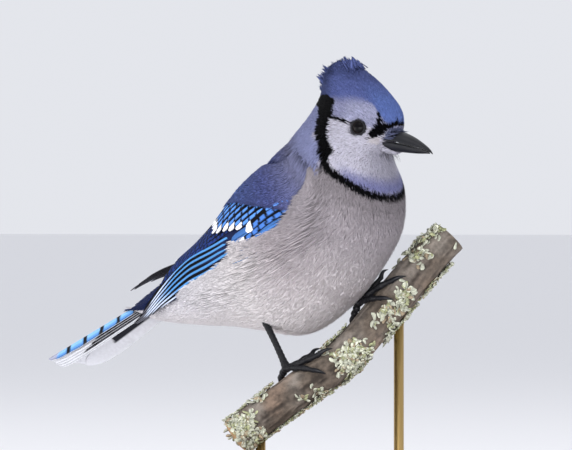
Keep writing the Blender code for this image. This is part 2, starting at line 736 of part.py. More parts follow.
# For each toe: how far it runs along the perch and around it, its radius and its claw's length.
TOES = {
    "right": {
        "inner": (12.5, -24.0, 1.4, 6.5),
        "middle": (13.5, 30.0, 1.55, 7.5),
        "outer": (7.5, 62.0, 1.4, 6.5),
        "hind": (-3.5, -62.0, 1.6, 8.0),
    },
    "left": {
        "inner": (4.5, 66.0, 1.4, 6.5),
        "middle": (11.0, 60.0, 1.55, 7.5),
        "outer": (10.5, -2.0, 1.4, 5.5),
        "hind": (-4.5, -34.0, 1.6, 4.5),
    },
}
FOOT_LIFT, CLAW_GAP = 2.6, 0.85


def toe_line(foot, toe, parts):
    """Points along a toe, from the middle of the foot over the bark. parts beyond 1 is the claw."""
    distance, around, _ = FEET[foot]
    along, turn, radius, _ = TOES[foot][toe]
    parts = np.atleast_1d(parts)
    lift = GAP + 0.15 + radius + 1.2 * np.clip(1 - parts * 3, 0, 1)
    return perch_point(distance + along * parts, around + turn * parts, lift)


def make_foot(foot, paint, claw_paint):
    distance, around, heel = FEET[foot]
    middle = perch_point(distance, around, FOOT_LIFT)[0]
    hub = ball_object("foot_" + foot, middle, (2.5, 2.5, 2.2), 12, 7)
    hub.data.materials.append(paint)
    toes = []
    for toe, (_, _, radius, claw) in TOES[foot].items():
        parts = np.array([0.0, 0.25, 0.42, 0.58, 0.74, 0.9, 1.0])
        swell = np.array([1.0, 1.0, 0.86, 1.0, 0.84, 0.96, 0.72])
        toes.append(tube_object("toe", path_rings(toe_line(foot, toe, parts), radius * swell, 6)))
        end = toe_line(foot, toe, [0.94, 1.0])
        ahead = end[1] - end[0]
        ahead /= np.linalg.norm(ahead)
        reach = np.linalg.norm(toe_line(foot, toe, [0.0])[0] - end[1])
        count = 6
        share = np.linspace(0.0, 1.0, count)
        start = CLAW_GAP / reach
        track = toe_line(foot, toe, 1.0 + start + share * claw / reach)
        on_bark = perch_point(
            distance + TOES[foot][toe][0] * (1.0 + start + share * claw / reach),
            around + TOES[foot][toe][1] * (1.0 + start + share * claw / reach),
            np.zeros(count),
        )
        up = track - on_bark
        up /= np.linalg.norm(up, axis=1)[:, None]
        radii = radius * np.array([0.74, 0.66, 0.54, 0.4, 0.25, 0.08])
        rise = radius + GAP + 0.2 + 1.7 * np.sin(share * math.pi * 0.8) - (radius - 0.2) * share
        line = on_bark + up * rise[:, None]
        tube_object(f"claw_{foot}_{toe}", path_rings(line, radii, 6), claw_paint)
    boolean(hub, toes, "UNION")
    top = middle + np.array([0.0, 0.0, 1.0])
    ahead = top - np.array(heel)
    length = np.linalg.norm(ahead)
    ahead /= length
    # The shank stands on the foot's hub and runs up to the plumage.
    shares = np.linspace(0.0, 1.0, 8)
    start = np.array(heel)
    line = start + (top - start) * shares[:, None]
    radii = np.array([2.0, 1.9, 1.7, 1.6, 1.6, 1.65, 1.8, 1.9])
    shank = tube_object("shank_" + foot, path_rings(line, radii, 10), paint)
    return shank, hub


def grown(source, amount):
    """A copy of an object with each point moved out along its normal, for cutting a clearance."""
    copy = source.copy()
    copy.data = source.data.copy()
    bpy.context.scene.collection.objects.link(copy)
    count = len(copy.data.vertices)
    places, normals = np.empty(count * 3), np.empty(count * 3)
    copy.data.vertices.foreach_get("co", places)
    copy.data.vertex_normals.foreach_get("vector", normals)
    copy.data.vertices.foreach_set("co", places + normals * amount * MM)
    return copy


def main():
    for thing in list(bpy.data.objects):
        bpy.data.objects.remove(thing, do_unlink=True)
    white = material("belly plumage", (0.55, 0.53, 0.55))
    blue = material("blue plumage", (0.12, 0.2, 0.55))
    dark = material("bare leg", (0.03, 0.03, 0.04), 0.5)
    horn = material("bill horn", (0.05, 0.05, 0.06), 0.35)
    eye_paint = material("eye", (0.02, 0.01, 0.01), 0.05)
    bark = material("bark", (0.25, 0.2, 0.16), 0.9)
    wood = material("base wood", (0.2, 0.12, 0.07), 0.5)
    metal = material("rod brass", (0.5, 0.4, 0.2), 0.3)

    torso = make_slice("torso", TAIL_END, TORSO_END, 13, white)
    make_slice("neck", TORSO_END, NECK_END, 5, white)
    make_head(blue)
    tail = make_tail("tail", blue)
    wings = [make_wing(-1, "wing_right", blue), make_wing(1, "wing_left", blue)]
    for side, word in ((-1, "right"), (1, "left")):
        eye = ball_object("eye_" + word, eye_spot(side), EYE_RADIUS, *EYE_FACETS)
        eye.data.materials.append(eye_paint)
    bill = make_bill("bill_upper", BILL_UPPER, True, horn)
    nostrils = []
    for side in (-1, 1):
        spot = turned(np.array([NOSTRIL[0], side * NOSTRIL[1], NOSTRIL[2]]), 1.0)
        nostrils.append(ball_object("nostril", spot, NOSTRIL_SIZE, 8, 5))
    boolean(bill, nostrils, "DIFFERENCE")
    make_bill("bill_lower", BILL_LOWER, False, horn)
    make_perch(bark)
    make_stand(wood, metal)
    for foot in FEET:
        shank, hub = make_foot(foot, dark, horn)
        boolean(torso, [grown(hub, GAP)], "DIFFERENCE")
        boolean(shank, [grown(torso, GAP), grown(hub, GAP)], "DIFFERENCE")
    for feathered in (tail, *wings):
        boolean(feathered, [grown(torso, GAP)], "DIFFERENCE")


main()
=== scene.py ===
"""Looks of the life-size blue jay on its perch, laid out as a Blender add-on.

The bird heads along +X, its left side is +Y and +Z is up. Shapes are worked out in millimetres and
turned to metres when a mesh is made. The body is one loft of ribs, the same as in the solids:
a place on it is a rib number, an angle round the rib and a height off the plumage's surface.
"""

import math

import bpy
import numpy as np
from bpy.props import FloatProperty, FloatVectorProperty, IntProperty, PointerProperty
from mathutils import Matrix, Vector


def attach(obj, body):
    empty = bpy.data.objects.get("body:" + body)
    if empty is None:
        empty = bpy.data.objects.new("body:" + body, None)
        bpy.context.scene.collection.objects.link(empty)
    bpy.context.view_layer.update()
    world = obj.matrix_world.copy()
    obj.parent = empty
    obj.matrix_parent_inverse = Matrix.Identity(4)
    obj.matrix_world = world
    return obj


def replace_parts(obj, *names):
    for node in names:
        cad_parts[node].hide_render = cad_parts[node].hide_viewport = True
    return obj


bl_info = {
    "name": "Perched Blue Jay",
    "version": (1, 0, 0),
    "blender": (4, 5, 0),
    "location": "3D View > Sidebar > Blue Jay",
    "description": "Plumage, bill, eyes, legs, perch and stand of a life-size blue jay",
    "category": "Object",
}

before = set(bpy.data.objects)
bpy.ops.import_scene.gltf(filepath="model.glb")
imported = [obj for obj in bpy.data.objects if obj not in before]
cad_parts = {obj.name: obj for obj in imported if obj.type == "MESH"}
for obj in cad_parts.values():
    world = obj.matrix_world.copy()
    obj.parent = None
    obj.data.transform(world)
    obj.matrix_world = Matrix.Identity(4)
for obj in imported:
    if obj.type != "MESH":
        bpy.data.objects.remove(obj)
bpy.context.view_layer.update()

MM = 0.001
FULL_TURN = 2 * math.pi
UP = np.array([0.0, 0.0, 1.0])
# Turn of the perch, and so of the photo's plane, out of the XZ plane.
PERCH_YAW = math.radians(42.0)

# Ribs of the body: back point x, z, belly point x, z, half width, and how far forward it is widest.
RIBS = np.array([
    [-100.0, 88.5, -97.0, 84.5, 6.0, 0.0], [-84.0, 97.0, -80.0, 80.5, 13.0, 0.0],
    [-66.0, 107.5, -56.0, 79.0, 19.5, 0.0], [-50.0, 118.0, -34.0, 78.5, 24.0, 0.0],
    [-36.0, 130.0, -13.0, 76.5, 27.0, 0.0], [-22.0, 145.0, 9.5, 75.0, 29.0, 0.0],
    [-11.0, 155.0, 32.0, 86.5, 30.0, 0.0], [-2.0, 163.0, 51.0, 104.5, 30.0, 0.0],
    [5.5, 168.5, 62.5, 122.0, 28.5, -0.05], [11.0, 174.0, 63.5, 138.5, 26.0, -0.1],
    [15.5, 178.5, 60.5, 151.0, 21.5, -0.1], [19.0, 182.0, 59.0, 160.0, 18.0, -0.05],
    [21.5, 185.5, 62.5, 166.0, 16.0, 0.0], [23.0, 188.5, 67.5, 172.0, 14.8, 0.0],
    [24.0, 191.5, 68.0, 178.0, 13.6, 0.0], [24.3, 194.5, 65.5, 184.0, 12.2, 0.0],
    [25.3, 197.0, 60.5, 189.0, 9.8, 0.0], [26.2, 199.2, 54.5, 194.0, 7.2, 0.0],
    [28.0, 201.3, 48.0, 198.2, 4.6, 0.0], [31.0, 203.0, 42.0, 201.8, 2.2, 0.0],
])
TOP_RIB = len(RIBS) - 1.0
HEAD_TURN = math.radians(6.0)
HEAD_PIVOT = 42.0
TURN_FROM, TURN_TO = 9.0, 12.0
EYE_CENTRE = (52.6, 10.4, 173.8)
# Distances from an eye's centre, seen from the side: to the edge of its bare skin, and to tufts.
BARE_SKIN, EYE_CLEAR = 4.15, 3.55
BILL_ROOT = (62.0, 0.0, 167.5)

# How deep the skin lies under the plumage's surface, by rib.
COAT_DEPTH = (
    (0.0, 2.0, 5.0, 8.0, 10.0, 12.0, 14.0, 19.0),
    (1.0, 2.2, 3.2, 3.2, 2.4, 1.3, 1.1, 0.7),
)
# Shares of a tuft's length at the four points of its path. Its ridge stands a share of its half
# breadth high, and less on the soft underside.
TUFT_STEPS = np.array([0.0, 0.4, 0.75, 1.0])
TUFT_RIDGE, SOFT_RIDGE = 0.3, 0.12
SOFT_COATS = ("coat_breast", "coat_belly", "coat_vent")
# The skin's unwrap: how many degrees it is across, and its first rib and how many ribs it is high.
UNWRAP_TURN, UNWRAP_START, UNWRAP_RIBS = 380.0, -1.5, 23.0

# Black markings, as outlines of (rib, angle from the back in degrees), the same on both sides.
NECKLACE = (
    (11.9, -1), (13.3, -1), (13.6, 31), (14.0, 45), (14.2, 56), (14.15, 68), (13.8, 74),
    (13.25, 73), (12.85, 74), (12.4, 78), (11.85, 78), (11.45, 82), (11.0, 88), (10.7, 95),
    (10.5, 101), (10.42, 108), (10.2, 109), (10.0, 106), (9.8, 106), (9.7, 108), (9.52, 111),
    (9.55, 119), (9.5, 127), (9.44, 137), (9.38, 145), (9.34, 154), (9.33, 164), (9.3, 181),
    (9.03, 181), (9.05, 168), (9.04, 157), (9.04, 146), (9.08, 136), (9.14, 126), (9.16, 117),
    (9.16, 107), (9.24, 103), (9.36, 98), (9.5, 93), (9.62, 88), (9.9, 89), (10.05, 84),
    (10.2, 78), (10.6, 70), (11.15, 63), (11.75, 56), (12.3, 46), (12.2, 31), (12.0, 15),
)
LORES = (
    (14.15, 134.5), (14.2, 138), (13.9, 140.5), (13.5, 142), (13.35, 147), (13.5, 156),
    (13.65, 166), (14.05, 169), (14.1, 172), (13.75, 173), (13.65, 181), (13.4, 181),
    (13.4, 175), (13.3, 167), (13.1, 156), (12.9, 153), (12.55, 152), (12.3, 149), (12.1, 140),
    (12.2, 134), (12.45, 132.5), (12.7, 132.5), (13.0, 132), (13.2, 135), (13.55, 134.5),
)
GAPE = ((11.8, 136), (11.95, 136), (12.3, 141), (12.42, 148), (12.25, 148), (12.08, 141))
NASAL = (
    (12.45, 157), (12.85, 154), (13.1, 158), (13.25, 168), (13.35, 181), (12.5, 181), (12.4, 166),
)
# Lines across the head and the back, as stops of one of angle and rib against the other: the thin
# line behind the eye, the crown's lower edge by angle, and the edge of the blue back by rib.
EYE_LINE = ((78.0, 89.0, 96.0, 106.0), (12.25, 12.4, 12.46, 12.6))
EYE_LINE_HALF = 0.15
CROWN_EDGE = (
    (0, 60, 70, 80, 93, 108, 123, 131, 135, 140, 150, 180),
    (13.3, 13.9, 14.2, 14.25, 14.55, 14.8, 14.85, 14.75, 14.35, 13.9, 13.45, 13.6),
)
BACK_EDGE = (
    (-1, 1, 3, 4, 6, 7, 8, 9, 10, 11, 12, 13),
    (112, 108, 98, 90, 88, 91, 95, 98, 94, 86, 72, 62),
)

# Guide ribs of each folded wing behind the torso, in the same terms as RIBS. -1 is the right wing.
GUIDE_REAR = {
    -1: np.array([
        [-104.0, 91.0, -100.0, 64.0, 13.0, 0.0], [-86.0, 99.0, -80.0, 70.0, 16.0, 0.0],
        [-67.0, 110.5, -57.0, 77.0, 21.8, 0.0], [-51.0, 120.0, -35.0, 78.0, 26.2, 0.0],
    ]),
    1: np.array([
        [-115.5, 91.5, -111.0, 65.5, 13.0, 0.0], [-90.0, 104.0, -84.0, 75.0, 16.0, 0.0],
        [-68.0, 114.5, -58.0, 79.0, 21.8, 0.0], [-51.0, 122.0, -35.0, 79.0, 26.2, 0.0],
    ]),
}
WING_LIFT = 1.8
# Each wing: the ribs where it starts and ends, and stops of its lower and its upper edge's angle.
WINGS = {
    -1: (7.9, 1.0, (106, 93, 90, 95, 118), (58, 30, 15, 16, 84)),
    1: (7.6, 0.7, (106, 92, 86, 70, 34), (58, 30, 14, 4, -4)),
}

# Tail: ridge root, slope, and the roof shape of the folded fan.
TAIL_ROOT = (-45.0, 112.5)
TAIL_PITCH = math.radians(24.0)
TAIL_ROOF = {-1: math.radians(45.0), 1: math.radians(42.0)}
TAIL_BEND = 4.0
TAIL_START, TAIL_LENGTH = 22.0, 125.2

# Upper bill: x, ridge z, mouth z, half width. Lower bill: x, mouth z, keel z, half width.
BILL_UPPER = np.array([
    [58.0, 171.0, 167.4, 5.6], [61.0, 171.6, 167.4, 5.6], [66.0, 172.0, 167.0, 5.3],
    [71.0, 171.0, 166.1, 4.7], [75.5, 169.2, 165.0, 3.8], [79.5, 167.0, 164.1, 2.8],
    [83.0, 164.7, 163.1, 1.8], [85.2, 162.9, 162.0, 1.0], [86.5, 161.3, 160.9, 0.25],
])
BILL_LOWER = np.array([
    [58.0, 167.2, 162.8, 5.0], [61.0, 167.1, 162.6, 5.0], [66.0, 166.7, 162.2, 4.8],
    [71.0, 165.8, 161.8, 4.2], [75.5, 164.7, 161.4, 3.2], [79.5, 163.8, 161.2, 2.3],
    [83.0, 162.75, 161.2, 1.3], [84.9, 161.5, 161.1, 0.3],
])

# Perch: distance along its line, height, radius.
PERCH = np.array([
    [-26.0, 27.0, 8.4], [-16.3, 34.0, 8.6], [-5.8, 42.2, 8.7], [4.8, 49.8, 8.8],
    [19.2, 59.4, 8.9], [29.8, 69.0, 9.0], [39.4, 79.6, 9.2], [49.0, 91.6, 9.3],
    [57.6, 101.7, 9.3], [67.2, 112.7, 9.2], [76.0, 122.2, 9.0],
])
PERCH_DEPTH, PERCH_DEPTH_SLOPE = -22.0, 0.216
ROD_SPOTS = {"stand_rod_low": -14.0, "stand_rod_high": 52.0}
ROD_RADIUS = 2.4
BASE_HEIGHT = 12.0

# For each foot: its place along the perch and around it, and where its heel is inside the body.
FEET = {
    "right": (4.5, 2.0, (-7.5, -14.0, 87.0)),
    "left": (42.0, -12.0, (8.0, 14.0, 91.0)),
}
# For each toe: how far it runs along the perch and around it, its radius and its claw's length.
TOES = {
    "right": {
        "inner": (12.5, -24.0, 1.4, 6.5),
        "middle": (13.5, 30.0, 1.55, 7.5),
        "outer": (7.5, 62.0, 1.4, 6.5),
        "hind": (-3.5, -62.0, 1.6, 8.0),
    },
    "left": {
        "inner": (4.5, 66.0, 1.4, 6.5),
        "middle": (11.0, 60.0, 1.55, 7.5),
        "outer": (10.5, -2.0, 1.4, 5.5),
        "hind": (-4.5, -34.0, 1.6, 4.5),
    },
}

# The ribs where each tone of underside and back lies.
BODY_TONES = (
    (0.0, 2.6, 4.6, 6.0, 7.3, 7.9, 8.9),
    ("vent", "vent", "belly", "flank", "breast", "breast", "upper breast"),
)
BACK_TONES = (
    (0.0, 2.0, 3.4, 5.5, 7.0, 8.2, 9.4),
    ("rear", "rear", "rump", "scapular", "mantle", "nape", "collar"),
)


def linear(text):
    """One sRGB hex colour as linear red, green and blue."""
    value = np.array([int(text[i : i + 2], 16) for i in (1, 3, 5)]) / 255
    return np.where(value <= 0.04045, value / 12.92, ((value + 0.055) / 1.055) ** 2.4)


def smooth_rows(table, position):
    """Rows between the rows of a table: cubic Hermite curves with central slopes."""
    position = np.atleast_1d(np.asarray(position, float))
    last = len(table) - 1
    first = np.clip(np.floor(position).astype(int), 0, last - 1)
    part = (position - first)[:, None]
    before = table[np.maximum(first - 1, 0)]
    here, there = table[first], table[first + 1]
    after = table[np.minimum(first + 2, last)]
    slope_here = (there - before) / 2
    slope_there = (after - here) / 2
    square, cube = part**2, part**3
    return (
        here * (2 * cube - 3 * square + 1)
        + slope_here * (cube - 2 * square + part)
        + there * (3 * square - 2 * cube)
        + slope_there * (cube - square)
    )


def eased(value):
    """0 below 0, 1 above 1, and a smooth step between."""
    value = np.clip(value, 0.0, 1.0)
    return value * value * (3 - 2 * value)


def unit(vectors):
    """The same directions, one long."""
    return vectors / np.maximum(np.linalg.norm(vectors, axis=-1, keepdims=True), 1e-9)


def dot(vectors, others):
    """The dot product of each pair of vectors."""
    return np.sum(vectors * others, axis=-1)


def squared(vectors, way):
    """Vectors less their part along a direction."""
    return vectors - way * dot(vectors, way)[..., None]


def turned(points, amount):
    """Points turned about the head's upright line by a share of the full turn."""
    angle = HEAD_TURN * amount
    out = np.array(points, float)
    x, y = out[..., 0] - HEAD_PIVOT, out[..., 1]
    out[..., 0] = HEAD_PIVOT + x * np.cos(angle) - y * np.sin(angle)
    out[..., 1] = x * np.sin(angle) + y * np.cos(angle)
    return out


def rib_points(rows, angle):
    """An ellipse on each rib: angle 0 is the back, 90 degrees the right side, 180 the belly."""
    along = np.cos(angle)
    middle_x, middle_z = (rows[..., 0] + rows[..., 2]) / 2, (rows[..., 1] + rows[..., 3]) / 2
    half_x, half_z = (rows[..., 0] - rows[..., 2]) / 2, (rows[..., 1] - rows[..., 3]) / 2
    width = rows[..., 4] * (1 + rows[..., 5] * along)
    return np.stack(
        [middle_x + half_x * along, -width * np.sin(angle), middle_z + half_z * along], axis=-1
    )


def body_point(position, angle):
    """The plumage's surface at a rib and an angle. Past the last ribs it runs straight on."""
    position, angle = np.broadcast_arrays(np.asarray(position, float), np.asarray(angle, float))
    flat = position.ravel()
    inside = np.clip(flat, 0.0, TOP_RIB)
    row = smooth_rows(RIBS, inside)
    top_slope = (RIBS[-1] - smooth_rows(RIBS, TOP_RIB - 0.5)[0]) * 2
    end_slope = (smooth_rows(RIBS, 0.5)[0] - RIBS[0]) * 2
    row = row + np.maximum(flat - TOP_RIB, 0)[:, None] * top_slope
    row = row + np.minimum(flat, 0)[:, None] * end_slope
    row[:, 4] = np.maximum(row[:, 4], 0.6)
    points = rib_points(row, np.radians(angle.ravel()))
    amount = eased((flat - TURN_FROM) / (TURN_TO - TURN_FROM))
    return turned(points, amount).reshape(position.shape + (3,))


def body_frame(position, angle):
    """Point, tangent along the ribs, tangent round the rib and outward normal of the surface."""
    here = body_point(position, angle)
    along = (body_point(position + 0.02, angle) - body_point(position - 0.02, angle)) / 0.04
    around = body_point(position, angle + 0.5) - body_point(position, angle - 0.5)
    return here, along, around, unit(np.cross(around, along))


def body_surface(position, angle, height):
    """A point at a height off the plumage's surface."""
    here, _, _, normal = body_frame(position, angle)
    return here + normal * height[..., None]


# Points of the crest's loose locks in side view, as x and z in mm, and each one's length.
CREST_TIPS = (
    (39.6, 207.9, 6.5), (37.0, 207.3, 7.5), (34.3, 207.9, 9.5),
    (31.0, 206.2, 12.0), (27.6, 206.0, 13.0), (25.0, 203.6, 12.5), (22.4, 204.0, 13.0),
    (21.4, 201.2, 12.0), (19.4, 200.0, 12.5), (20.6, 197.2, 10.0), (20.6, 194.6, 9.0),
)
# Each lock is made at the middle and this far to either side of it.
LOCK_SIDE = 3.2


def coat_depth(position, angle):
    """Depth of the skin: by rib, and two thirds of it on the back."""
    return np.interp(position, *COAT_DEPTH) * (0.66 + 0.34 * np.abs(angle) / 180)


def lattice_noise(points, size, seed=0):
    """Value noise from -1 to 1: random numbers on a lattice of that size, eased between. Each
    number comes from its cell's three counts, multiplied by large primes and mixed bit by bit."""
    scaled = points / size
    base = np.floor(scaled).astype(np.int64)
    part = eased(scaled - base)
    total = np.zeros(scaled.shape[:-1])
    for corner in range(8):
        step = np.array([corner & 1, corner >> 1 & 1, corner >> 2 & 1])
        cell = base + step
        mixed = cell[..., 0] * 73856093 ^ cell[..., 1] * 19349663 ^ cell[..., 2] * 83492791
        mixed = (mixed ^ (seed * 2654435761)) * 1274126177 & 0xFFFFFFFF
        value = ((mixed >> 8) & 0xFFFF) / 32768.0 - 1.0
        weight = np.prod(np.where(step == 1, part, 1 - part), axis=-1)
        total += value * weight
    return total


def inside_outline(position, angle, outline):
    """True where a place lies in an outline: an odd number of its edges pass on one side."""
    corners = np.array(outline, float)
    found = np.zeros(position.shape, bool)
    for (p0, a0), (p1, a1) in zip(corners, np.roll(corners, -1, axis=0)):
        if a0 == a1:
            continue
        crosses = (a0 > angle) != (a1 > angle)
        found ^= crosses & (position < p0 + (p1 - p0) * (angle - a0) / (a1 - a0))
    return found


def over_to(colour, other, share):
    """Colour laid over with another by a share for each place."""
    share = np.clip(share, 0, 1)[..., None]
    return colour * (1 - share) + other * share


def tone_between(position, stops, tones):
    """A colour between the named tones at the ribs given."""
    ribs, names = stops
    table = np.array([tones[name] for name in names])
    return np.stack([np.interp(position, ribs, table[:, i]) for i in range(3)], axis=-1)


def plumage_tones(settings):
    """The tones of the coat, as linear colours: those a user sets, and shades made from them."""
    crown, mantle = np.array(settings.crown), np.array(settings.mantle)
    face, breast = np.array(settings.face), np.array(settings.breast)
    belly = np.array(settings.belly)
    return {
        "black": np.array(settings.band),
        "crown middle": crown,
        "crown front": crown * (1.1, 1.3, 1.28),
        "crown back": crown * (0.52, 0.52, 0.52),
        "brow": face * (0.66, 0.69, 0.84),
        "brow back": face * (0.52, 0.55, 0.72),
        "face": face,
        "throat": face * (0.7, 0.7, 0.72),
        "throat fringe": face * (0.3, 0.33, 0.62),
        "nasal": face * (0.2, 0.23, 0.34),
        "gape": face * (1.05, 1.0, 0.85),
        "collar": mantle * (2.8, 2.55, 1.58),
        "nape": mantle * (1.5, 1.3, 0.8),
        "mantle": mantle * 0.84,
        "scapular": mantle * (0.85, 1.08, 1.1),
        "rump": mantle * (0.6, 0.8, 0.9),
        # Painted shade: the back by the tail's root, between the folded wings' tips, is a
        # near-black navy, far darker than the rump's own blue.
        "rear": mantle * (0.16, 0.22, 0.3),
        "upper breast": breast * 0.62,
        "breast": breast,
        "flank": breast * (1.45, 1.43, 1.4),
        "belly": belly,
        "vent": belly * (1.08, 1.1, 1.14),
    }


def coat_colour(position, angle, tones, chance=None):
    """The markings: a colour for each place on the body, with edges scattered by chance. Every
    patch is laid over those before it, between limits in ribs and in degrees from the back."""
    angle = np.abs(angle)
    if chance is not None:
        position = position + chance.normal(0, 0.05, position.shape)
        angle = np.abs(angle + chance.normal(0, 1.3, angle.shape))
    angle = np.minimum(angle, 180.0)
    colour = tone_between(position, BODY_TONES, tones)
    under = eased((angle - 105) / 50) * eased((8.2 - position) / 3.0)
    colour = over_to(colour, tones["belly"], 0.8 * under)
    edge = np.interp(position, *BACK_EDGE)
    ends = np.interp(angle, (60, 72), (12.9, 10.8))
    back = eased((edge - angle) / 8 + 0.5) * eased((ends - position) / 0.9)
    colour = over_to(colour, tone_between(position, BACK_TONES, tones), back)
    head = eased((position - 9.2) / 0.25) * (1 - back)
    throat = head * eased((angle - 135) / 30) * eased((12.4 - position) / 0.8)
    fringe = head * eased((10.15 - position) / 0.7) * eased((angle - 112) / 20)
    line = np.interp(angle, *EYE_LINE)
    above = head * eased((position - line) / 0.3)
    blend = np.interp(angle, (60, 90, 112, 128), (0.5, 1.5, 1.2, 0.5))
    crown = eased((position - np.interp(angle, *CROWN_EDGE)) / blend + 0.5)
    front = crown * eased((angle - 112) / 36) * eased((17.5 - position) / 2.5)
    rear = np.maximum(eased((80 - angle) / 40), 0.6 * eased((position - 16.0) / 2.5))
    gape = (angle > 140) & (angle < 156) & (position > 11.7) & (position < 12.25)
    on_line = (np.abs(position - line) < EYE_LINE_HALF) & (angle > 76) & (angle < 107)
    black = inside_outline(position, angle, NECKLACE) | inside_outline(position, angle, LORES)
    black |= inside_outline(position, angle, GAPE) | on_line
    # Bare dark skin around the eye.
    flat = turned(body_point(position, angle), -1.0)
    reach = np.hypot(flat[..., 0] - EYE_CENTRE[0], flat[..., 2] - EYE_CENTRE[2])
    bare = (reach < BARE_SKIN) & (angle > 60) & (angle < 140)
    for name, share in (
        ("face", head),
        ("throat", throat),
        ("throat fringe", 0.85 * fringe),
        ("brow", above),
        ("brow back", above * eased((98 - angle) / 15)),
        ("crown middle", crown),
        ("crown front", front),
        ("crown back", crown * rear),
        ("gape", 0.6 * gape),
        ("nasal", inside_outline(position, angle, NASAL)),
        ("black", black),
        ("black", 0.85 * bare),
    ):
        colour = over_to(colour, tones[name], share)
    return colour


def add(tree, kind, output, inputs=None, **settings):
    """Adds a node with its settings, and its inputs as values or as links from sockets. Returns
    the output that is asked for, if any."""
    made = tree.nodes.new("ShaderNode" + kind)
    for key, value in settings.items():
        setattr(made, key, value)
    for name, value in (inputs or {}).items():
        if isinstance(value, bpy.types.NodeSocket):
            tree.links.new(value, made.inputs[name])
        else:
            made.inputs[name].default_value = value
    return None if output is None else made.outputs[output]


def new_material(name):
    """An empty material and its node tree."""
    made = bpy.data.materials.new(name)
    made.use_nodes = True
    made.node_tree.nodes.clear()
    return made, made.node_tree


def finished(made, inputs):
    """The material with a shader that has these inputs."""
    tree = made.node_tree
    shader = add(tree, "BsdfPrincipled", "BSDF", inputs)
    add(tree, "OutputMaterial", None, {"Surface": shader})
    return made


def opaque(colour):
    """A linear colour with full cover, for a colour socket."""
    return (*colour, 1.0)


def feather_keratin():
    """Feather barbs: soft and matt, coloured by the piece's own marking, with a fine grain of
    barbs about 0.4 mm apart, drawn coarser than the real ones, which are too fine to show."""
    made, tree = new_material("feather barbs")
    mark = add(tree, "Attribute", "Color", attribute_name="marking")
    place = add(tree, "TexCoord", "Object")
    fleck = add(tree, "TexNoise", "Fac", {"Vector": place, "Scale": 1 / (1.6 * MM), "Detail": 3.0})
    span = {"From Min": 0.3, "From Max": 0.7, "To Min": 0.95, "To Max": 1.05}
    level = add(tree, "MapRange", "Result", {"Value": fleck, **span})
    mixed = add(tree, "VectorMath", "Vector", {0: mark, "Scale": level}, operation="SCALE")
    barbs = add(tree, "UVMap", "UV", uv_map="feather")
    wave = {"Vector": barbs, "Scale": 1 / 2.2, "Distortion": 1.5, "Detail": 1.0}
    comb = add(tree, "TexWave", "Fac", wave, bands_direction="DIAGONAL")
    bump = add(tree, "Bump", "Normal", {"Height": comb, "Strength": 0.25, "Distance": 0.1 * MM})
    look = {"Roughness": 0.6, "Specular IOR Level": 0.06}
    return finished(made, {"Base Color": mixed, "Normal": bump, **look})


def bill_horn(colour):
    """Keratin horn of the bill and claws: near black, smooth and half glossy, with faint growth
    lines about 1 mm apart and a cloudy bloom."""
    made, tree = new_material("dark bill horn")
    place = add(tree, "TexCoord", "Object")
    cloud = add(tree, "TexNoise", "Fac", {"Vector": place, "Scale": 1 / (5 * MM), "Detail": 5.0})
    wave = {"Vector": place, "Scale": 1 / (7 * MM), "Distortion": 3.0, "Detail": 2.0}
    lines = add(tree, "TexWave", "Fac", wave)
    tones = {0: cloud, 6: opaque(colour * 0.55), 7: opaque(colour * 1.6)}
    tone = add(tree, "Mix", 2, tones, data_type="RGBA")
    bump = add(tree, "Bump", "Normal", {"Height": lines, "Strength": 0.2, "Distance": 0.05 * MM})
    look = {"Roughness": 0.38, "Specular IOR Level": 0.28}
    return finished(made, {"Base Color": tone, "Normal": bump, **look})


def leg_skin():
    """Horny skin of the legs: near black plates with a dull shine and greyer edges."""
    made, tree = new_material("scaly leg skin")
    place = add(tree, "TexCoord", "Object")
    cell = {"Vector": place, "Scale": 1 / (0.9 * MM)}
    edge = add(tree, "TexVoronoi", "Distance", cell, feature="DISTANCE_TO_EDGE")
    seam = add(tree, "MapRange", "Result", {"Value": edge, "From Min": 0.0, "From Max": 0.12})
    tones = {0: seam, 6: opaque(linear("#222226")), 7: opaque(linear("#0D0D11"))}
    tone = add(tree, "Mix", 2, tones, data_type="RGBA")
    bump = add(tree, "Bump", "Normal", {"Height": seam, "Strength": 0.4, "Distance": 0.1 * MM})
    look = {"Roughness": 0.45, "Specular IOR Level": 0.2}
    return finished(made, {"Base Color": tone, "Normal": bump, **look})


def wet_eye(colour):
    """A dark brown iris round a black pupil, with the sharp gloss of a wet cornea."""
    made, tree = new_material("dark wet eye")
    rings = add(tree, "UVMap", "UV", uv_map="feather")
    out = add(tree, "SeparateXYZ", "Y", {0: rings})
    streaks = add(tree, "TexNoise", "Fac", {"Vector": rings, "Scale": 60.0})
    pupil = add(tree, "MapRange", "Result", {"Value": out, "From Min": 0.2, "From Max": 0.23})
    rim = add(tree, "MapRange", "Result", {"Value": out, "From Min": 0.265, "From Max": 0.29})
    tones = {0: streaks, 6: opaque(colour * 0.5), 7: opaque(colour)}
    brown = add(tree, "Mix", 2, tones, data_type="RGBA")
    tones = {0: pupil, 6: opaque(linear("#040304")), 7: brown}
    iris = add(tree, "Mix", 2, tones, data_type="RGBA")
    tones = {0: rim, 6: iris, 7: opaque(linear("#060506"))}
    whole = add(tree, "Mix", 2, tones, data_type="RGBA")
    look = {"Roughness": 0.04, "Specular IOR Level": 0.1}
    return finished(made, {"Base Color": whole, **look})


